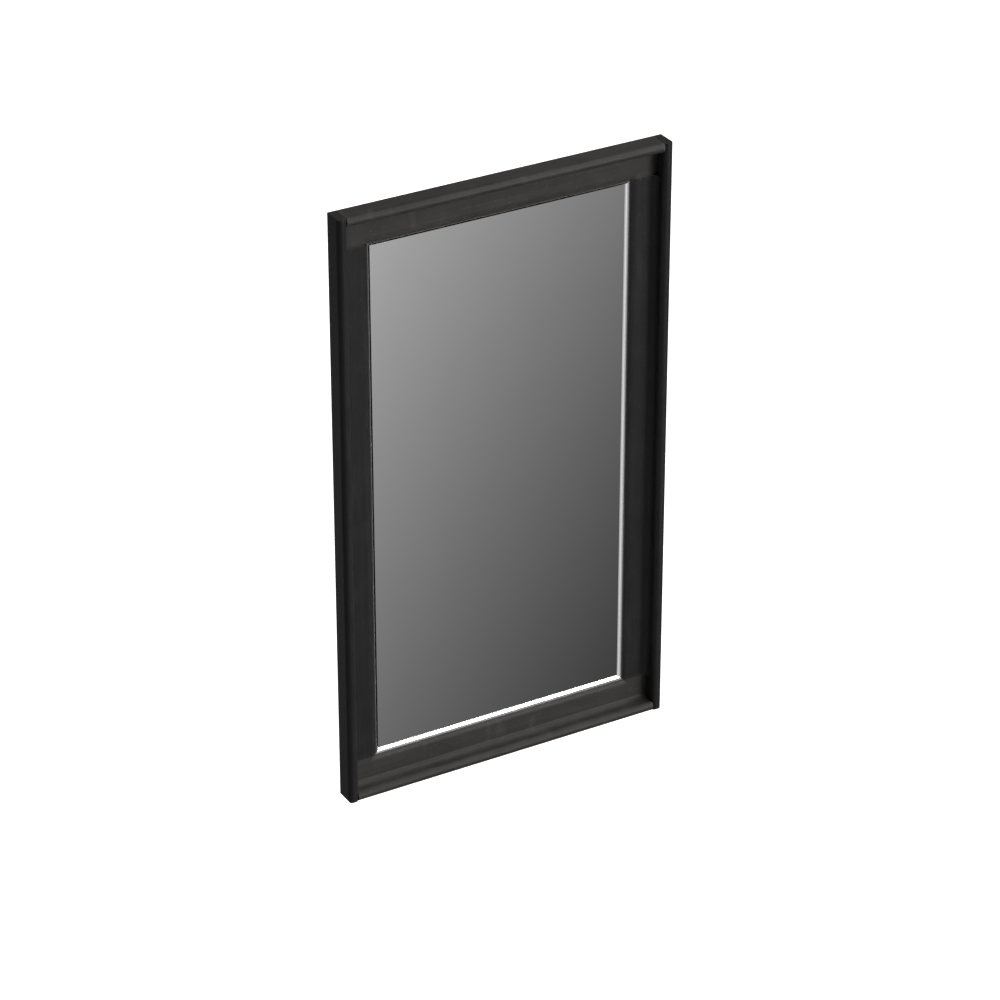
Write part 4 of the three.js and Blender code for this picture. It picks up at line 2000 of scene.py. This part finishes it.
@dataclass
class ScrewRow:
    """Screws of one kind, each turned a little differently, as a fitter leaves them."""

    kind: WoodScrew
    turn_step: float = 0.83

    def build(self, names: dict[str, str], finishes: Finishes) -> None:
        """Makes and dresses the screws.

        Args:
            names: each piece's name with its CAD node.
            finishes: the built finishes.
        """
        shared = None
        for i, (name, node) in enumerate(names.items()):
            if shared is None:
                piece = self.kind.build(name)
                shared = piece.data
            else:
                piece = bpy.data.objects.new(name, shared)
                bpy.context.scene.collection.objects.link(piece)
                even_shading(piece)
            piece.location = screw_place(node)
            piece.rotation_euler.y = self.turn_step * i
            seat(piece, node, finishes.zinc)


@dataclass
class PanelScrews:
    """The small screws that hold the backing board."""

    kind: WoodScrew
    nodes: list[str]

    @classmethod
    def from_frame(cls) -> "PanelScrews":
        """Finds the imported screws.

        Returns:
            The screws, not built yet.
        """
        nodes = sorted(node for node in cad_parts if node.startswith("backing_screw_"))
        kind = WoodScrew.from_node(nodes[0], head_depth=0.0016, shank=0.0026, point=0.0025, pitch=0.0011)
        return cls(kind, nodes)

    @property
    def places(self) -> list[Vector]:
        """The middle of each screw's head."""
        return [screw_place(node) for node in self.nodes]

    def build(self, finishes: Finishes) -> None:
        """Makes and dresses the screws."""
        names = {node.replace("backing", "panel"): node for node in self.nodes}
        ScrewRow(self.kind).build(names, finishes)


# ---- Hanging hardware ---------------------------------------------------------------------------
@dataclass
class Hanger:
    """A curled steel strap, its D-ring and its two screws, on one side of the back."""

    hand: Hand
    middle: Vector
    thickness: float = 0.001
    eye: float = 0.0015
    curl: float = math.radians(300)
    edge: float = 0.00018
    edge_limit: float = 0.4
    curl_steps: int = 40
    end_steps: int = 14
    wire: float = 0.0012
    corner_radius: float = 0.0035
    side_length: float = 0.003
    butt_gap: float = 0.0004
    wire_end: float = 0.0002
    wire_end_places: tuple[float, ...] = (0.0, 0.3, 1.0)
    wire_end_widths: tuple[float, ...] = (0.8, 0.93)
    wire_sides: int = 24
    corner_steps: int = 8
    bow_steps: int = 32
    hole_clearance: float = 0.00005

    @classmethod
    def from_frame(cls, hand: Hand) -> "Hanger":
        """Takes the eye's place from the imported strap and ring.

        Args:
            hand: the side of the back that it is on.

        Returns:
            The hanger, not built yet.
        """
        strap_low, strap_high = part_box(f"hanger_strap_{hand.value}")
        _, ring_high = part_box(f"hanger_ring_{hand.value}")
        across = (strap_low.x + strap_high.x) / 2
        return cls(hand, Vector((across, strap_high.y / 2, ring_high.z - cls.wire)))

    @property
    def strap_node(self) -> str:
        """The CAD node of the strap."""
        return f"hanger_strap_{self.hand.value}"

    def screw_nodes(self) -> dict[str, str]:
        """The pieces' names of the two screws, with their CAD nodes.

        Returns:
            Each piece's name with its node.
        """
        return {
            f"strap_screw_{self.hand.value}_{level}": f"hanger_screw_{self.hand.value}_{level}"
            for level in ("upper", "lower")
        }

    def strap_route(self, length: float, half_width: float) -> list[tuple[Vector, Vector, float]]:
        """The strap's middle line, from its round end up and round the eye.

        Args:
            length: distance from the eye's middle to the round end.
            half_width: half the strap's width.

        Returns:
            For each place along it: the point, the direction out of its face, and its half width.
        """
        outwards = Vector((0.0, 1.0, 0.0))
        reach = self.eye + self.thickness / 2
        route = []
        for k in range(1, self.end_steps + 1):
            angle = QUARTER * k / self.end_steps
            drop = -length + half_width * (1 - math.cos(angle))
            route.append((Vector((0.0, -reach, drop)), outwards, half_width * math.sin(angle)))
        for k in range(self.curl_steps + 1):
            angle = self.curl * k / self.curl_steps
            spoke = Vector((0.0, -math.cos(angle), math.sin(angle)))
            route.append((spoke * reach, -spoke, half_width))
        return route

    def build_strap(self, kind: WoodScrew, finishes: Finishes) -> None:
        """Makes and dresses the strap, with its two countersunk holes.

        Args:
            kind: the screw that goes through it.
            finishes: the built finishes.
        """
        low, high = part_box(self.strap_node)
        half_width = (high.x - low.x) / 2
        stations = []
        for point, outwards, half in self.strap_route(self.middle.z - low.z, half_width):
            ease = min(self.edge, self.edge_limit * half)
            rim = half - ease / 2
            corners = [
                Corner(-half, -self.thickness / 2, ease),
                Corner(half, -self.thickness / 2, ease),
                Corner(half, self.thickness / 2, ease),
                Corner(-half, self.thickness / 2, ease),
            ]
            ring = eased(corners, guard=rim)
            points = [self.middle + point + Vector((e.across, 0.0, 0.0)) + outwards * e.height for e in ring]
            stations.append(Station(points, [e.arris for e in ring]))
        strap = loft(f"strap_{self.hand.value}", stations)
        cutters = [
            kind.hole(screw_place(node), 2 * self.thickness, self.hole_clearance)
            for node in self.screw_nodes().values()
        ]
        carve(strap, merged("strap_holes", cutters))
        seat(strap, self.strap_node, finishes.zinc)

    def ring_route(self, half_width: float) -> list[tuple[Vector, Vector]]:
        """The wire's middle line, from the butt joint round to itself.

        Args:
            half_width: half the ring's width at the wire's middle.

        Returns:
            For each place along it: the point and the direction out of the ring's plane curve.
        """
        radius = self.corner_radius
        straight = half_width - radius
        down = Vector((0.0, 0.0, -1.0))
        right = Vector((1.0, 0.0, 0.0))
        half = []
        for share in self.wire_end_places:
            half.append((right * (self.butt_gap / 2 + self.wire_end * share), -down))
        corner = right * straight + down * radius
        for k in range(self.corner_steps + 1):
            angle = QUARTER * k / self.corner_steps
            spoke = right * math.sin(angle) - down * math.cos(angle)
            half.append((corner + spoke * radius, spoke))
        bow = []
        for k in range(self.bow_steps + 1):
            angle = math.pi * k / self.bow_steps
            spoke = right * math.cos(angle) + down * math.sin(angle)
            bow.append((down * (radius + self.side_length) + spoke * half_width, spoke))
        mirrored = [
            (Vector((-point.x, point.y, point.z)), Vector((-spoke.x, spoke.y, spoke.z)))
            for point, spoke in reversed(half)
        ]
        return half + bow + mirrored

    def build_ring(self, finishes: Finishes) -> None:
        """Makes and dresses the D-ring, which swings in the strap's eye.

        Args:
            finishes: the built finishes.
        """
        node = f"hanger_ring_{self.hand.value}"
        low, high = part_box(node)
        half_width = (high.x - low.x) / 2 - self.wire
        route = self.ring_route(half_width)
        stations = []
        for i, (point, spoke) in enumerate(route):
            from_end = min(i, len(route) - 1 - i)
            share = self.wire_end_widths[from_end] if from_end < len(self.wire_end_widths) else 1.0
            points = []
            for k in range(self.wire_sides):
                angle = 2 * math.pi * k / self.wire_sides
                across = spoke * math.cos(angle) + Vector((0.0, math.sin(angle), 0.0))
                points.append(self.middle + point + across * self.wire * share)
            stations.append(Station(points, [0.0] * self.wire_sides))
        ring = loft(f"ring_{self.hand.value}", stations)
        seat(ring, node, finishes.zinc, f"{self.hand.value}_ring")

    def build(self, kind: WoodScrew, finishes: Finishes) -> None:
        """Makes and dresses the strap, the ring and the two screws.

        Args:
            kind: the screw that holds the strap.
            finishes: the built finishes.
        """
        self.build_strap(kind, finishes)
        self.build_ring(finishes)
        ScrewRow(kind).build(self.screw_nodes(), finishes)


@dataclass
class Bumpers:
    """Two soft feet that keep the lower corners off the wall."""

    face_share: float = 11 / 14
    ease: float = 0.0006
    ease_steps: int = 6
    foot_ease: float = 0.0001
    dish_shares: tuple[float, float] = (0.55, 0.5)
    dish_depth: float = 0.0002
    sides: int = 48

    def build(self, finishes: Finishes) -> None:
        """Makes and dresses both bumpers.

        Args:
            finishes: the built finishes.
        """
        for hand in Hand:
            node = f"wall_bumper_{hand.value}"
            low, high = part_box(node)
            base = (high.x - low.x) / 2
            face = base * self.face_share
            height = high.y - low.y
            profile = [(0.0, 0.0), (base - self.foot_ease, 0.0), (base, self.foot_ease)]
            for k in range(self.ease_steps + 1):
                angle = QUARTER * k / self.ease_steps
                radius = face - self.ease * (1 - math.cos(angle))
                profile.append((radius, height - self.ease * (1 - math.sin(angle))))
            rim, dish = self.dish_shares
            profile.append((face * rim, height))
            profile.append((face * dish, height - self.dish_depth))
            profile.append((0.0, height - self.dish_depth))
            bumper = turned(f"bumper_{hand.value}", profile, self.sides)
            bumper.location = Vector(((low.x + high.x) / 2, low.y, (low.z + high.z) / 2))
            seat(bumper, node, finishes.rubber)


# ---- Dowels -------------------------------------------------------------------------------------
@dataclass
class Dowels:
    """The beech dowels in the joints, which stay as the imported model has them."""

    mark: str = "_dowel_"

    def dress(self, finishes: Finishes) -> None:
        """Gives every dowel its finish.

        Args:
            finishes: the built finishes.
        """
        for name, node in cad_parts.items():
            if self.mark in name:
                for place in node.material_slots:
                    place.material = finishes.beech
                log.info("%s keeps its packed shape in beech", name)


# ---- Studio -------------------------------------------------------------------------------------
@dataclass(frozen=True)
class SoftLamp:
    """A round soft lamp that shines at the middle of the mirror."""

    name: str
    direction: Direction
    power: float
    size: float = 4.4
    distance: float = 8.0

    def build(self) -> None:
        """Builds the lamp, out of the camera's sight."""
        lamp = bpy.data.lights.new(self.name, "AREA")
        lamp.shape = "DISK"
        lamp.size = self.size
        lamp.energy = self.power
        towards = Vector(self.direction).normalized()
        holder = bpy.data.objects.new(self.name, lamp)
        holder.location = towards * self.distance
        holder.rotation_euler = (-towards).to_track_quat("-Z", "Y").to_euler()
        holder.visible_camera = False
        bpy.context.scene.collection.objects.link(holder)


@dataclass
class Studio:
    """A pale floor, soft lamps in front and behind, and a surrounding that fades to dark."""

    floor_drop: float = 1.5
    floor_size: float = 14.0
    floor_albedo: float = 0.82
    floor_roughness: float = 0.9
    floor_glow: float = 0.9
    soft_level: float = 0.02
    fade_direction: Direction = (-0.632, -0.6406, 0.4366)
    fade_offset: float = 0.425
    fade_gain: float = 3.616
    fade_power: float = 2.2
    mirror_share: float = 0.9
    wide_start: float = 0.393
    wide_gain: float = 0.6
    back_direction: Direction = (0.0, 1.0, 0.0)
    back_start: float = 0.84
    back_full: float = 0.94
    back_level: float = 0.5
    lamps: tuple[SoftLamp, ...] = (
        SoftLamp("key_lamp", (0.7, -0.45, 0.65), power=232.0),
        SoftLamp("top_lamp", (0.6, -0.1, 0.8), power=268.0),
        SoftLamp("front_lamp", (0.5, -0.8, 0.1), power=461.0),
        SoftLamp("rear_lamp_high", (0.44, 0.76, 0.48), power=3.6, size=2.2, distance=4.0),
        SoftLamp("rear_lamp_low", (-0.44, 0.76, -0.48), power=4.7, size=2.2, distance=4.0),
        SoftLamp("back_lamp", (0.0, 1.0, 0.05), power=260.0, size=1.2),
    )

    def build(self) -> None:
        """Builds the floor, the lamps and the world."""
        self.build_floor()
        for lamp in self.lamps:
            lamp.build()
        self.build_world()

    def build_floor(self) -> None:
        """A pale floor that shows white and keeps the object's shadow."""
        half = self.floor_size / 2
        corners = [(-half, -half), (half, -half), (half, half), (-half, half)]
        mesh = bpy.data.meshes.new("pale_floor")
        mesh.from_pydata([(x, y, -self.floor_drop) for x, y in corners], [], [(0, 1, 2, 3)])
        floor = bpy.data.objects.new("pale_floor", mesh)
        bpy.context.scene.collection.objects.link(floor)
        material, graph, shader = new_finish("pale_floor")
        shader.inputs["Base Color"].default_value = (self.floor_albedo,) * 3 + (1.0,)
        shader.inputs["Roughness"].default_value = self.floor_roughness
        shader.inputs["Specular IOR Level"].default_value = 0.0
        shader.inputs["Emission Color"].default_value = (1.0, 1.0, 1.0, 1.0)
        seen = graph.add("ShaderNodeLightPath").outputs["Is Camera Ray"]
        graph.feed(shader.inputs["Emission Strength"], graph.scaled(seen, self.floor_glow))
        mesh.materials.append(material)
        floor.visible_glossy = False

    def build_world(self) -> None:
        """White behind the object, a faint even light, and a studio in its gloss that glows behind it."""
        world = bpy.data.worlds.new("studio")
        world.use_nodes = True
        world.node_tree.nodes.clear()
        graph = Graph(world.node_tree)
        lean = self.lean(graph, self.fade_direction)
        shown = graph.scaled(lean, self.fade_gain, self.fade_offset)
        shown = graph.math("POWER", graph.math("MAXIMUM", shown, 0.0), self.fade_power)
        wide = graph.scaled(lean, self.wide_gain, self.wide_start)
        gloss = graph.math("MINIMUM", graph.math("DIVIDE", shown, self.mirror_share), wide)
        from_behind = self.lean(graph, self.back_direction)
        behind = graph.ramp(from_behind, self.back_start, self.back_full, end=self.back_level)
        gloss = graph.math("MAXIMUM", gloss, behind)
        path = graph.add("ShaderNodeLightPath").outputs
        level = self.choose(graph, path["Is Glossy Ray"], self.soft_level, gloss)
        clear = graph.math("MAXIMUM", path["Is Camera Ray"], path["Is Transmission Ray"])
        background = graph.add("ShaderNodeBackground")
        background.inputs["Color"].default_value = (1.0, 1.0, 1.0, 1.0)
        graph.feed(background.inputs["Strength"], self.choose(graph, clear, level, 1.0))
        graph.feed(graph.add("ShaderNodeOutputWorld").inputs["Surface"], background.outputs[0])
        bpy.context.scene.world = world

    @staticmethod
    def lean(graph: Graph, direction: Direction) -> NodeSocket:
        """How far the world's own direction leans towards another one.

        Args:
            graph: the world's graph.
            direction: the other direction.

        Returns:
            The cosine between the two.
        """
        node = graph.add("ShaderNodeVectorMath", operation="DOT_PRODUCT")
        graph.feed(node.inputs[0], graph.add("ShaderNodeTexCoord").outputs["Generated"])
        graph.feed(node.inputs[1], direction)
        return node.outputs["Value"]

    @staticmethod
    def choose(graph: Graph, switch: NodeSocket, off: Feed, on: Feed) -> NodeSocket:
        """One value where a switch is 0, and another where it is 1.

        Args:
            graph: the world's graph.
            switch: 0 or 1.
            off: the value at 0.
            on: the value at 1.

        Returns:
            The chosen value's socket.
        """
        node = graph.add("ShaderNodeMix", data_type="FLOAT")
        graph.feed(node.inputs["Factor"], switch)
        graph.feed(node.inputs["A"], off)
        graph.feed(node.inputs["B"], on)
        return node.outputs["Result"]


@dataclass
class PhotoCamera:
    """The camera, where the photograph was taken from."""

    place: Vector = field(default_factory=lambda: Vector((-2.87448, -4.98428, 3.08573)))
    aim: Vector = field(default_factory=lambda: Vector((0.43897, 0.75996, -0.47934)))
    sensor: float = 36.0
    focal_share: float = 3.96871

    def build(self) -> None:
        """Builds the camera and makes it the scene's own."""
        data = bpy.data.cameras.new("photo_camera")
        data.sensor_width = self.sensor
        data.lens = self.focal_share * self.sensor
        camera = bpy.data.objects.new("photo_camera", data)
        camera.location = self.place
        camera.rotation_euler = self.aim.to_track_quat("-Z", "Y").to_euler()
        bpy.context.scene.collection.objects.link(camera)
        bpy.context.scene.camera = camera


def main() -> None:
    """Builds the mirror from its frame inwards, then the studio and the camera."""
    logging.basicConfig(level=logging.INFO, format="%(name)s: %(message)s")
    bpy.context.scene.view_settings.view_transform = "Standard"
    finishes = Finishes.build()
    OuterBoards.from_frame().build(finishes)
    InnerFrame.from_frame().build(finishes)
    GlassSlip.from_frame().build(finishes)
    panel_screws = PanelScrews.from_frame()
    GlassPack().build(finishes, panel_screws)
    panel_screws.build(finishes)
    strap_screw = WoodScrew.from_node(
        "hanger_screw_left_upper", head_depth=0.0019, shank=0.003, point=0.003, pitch=0.00135
    )
    for hand in Hand:
        Hanger.from_frame(hand).build(strap_screw, finishes)
    Bumpers().build(finishes)
    Dowels().dress(finishes)
    Studio().build()
    PhotoCamera().build()


if __name__ == "__main__":
    main()
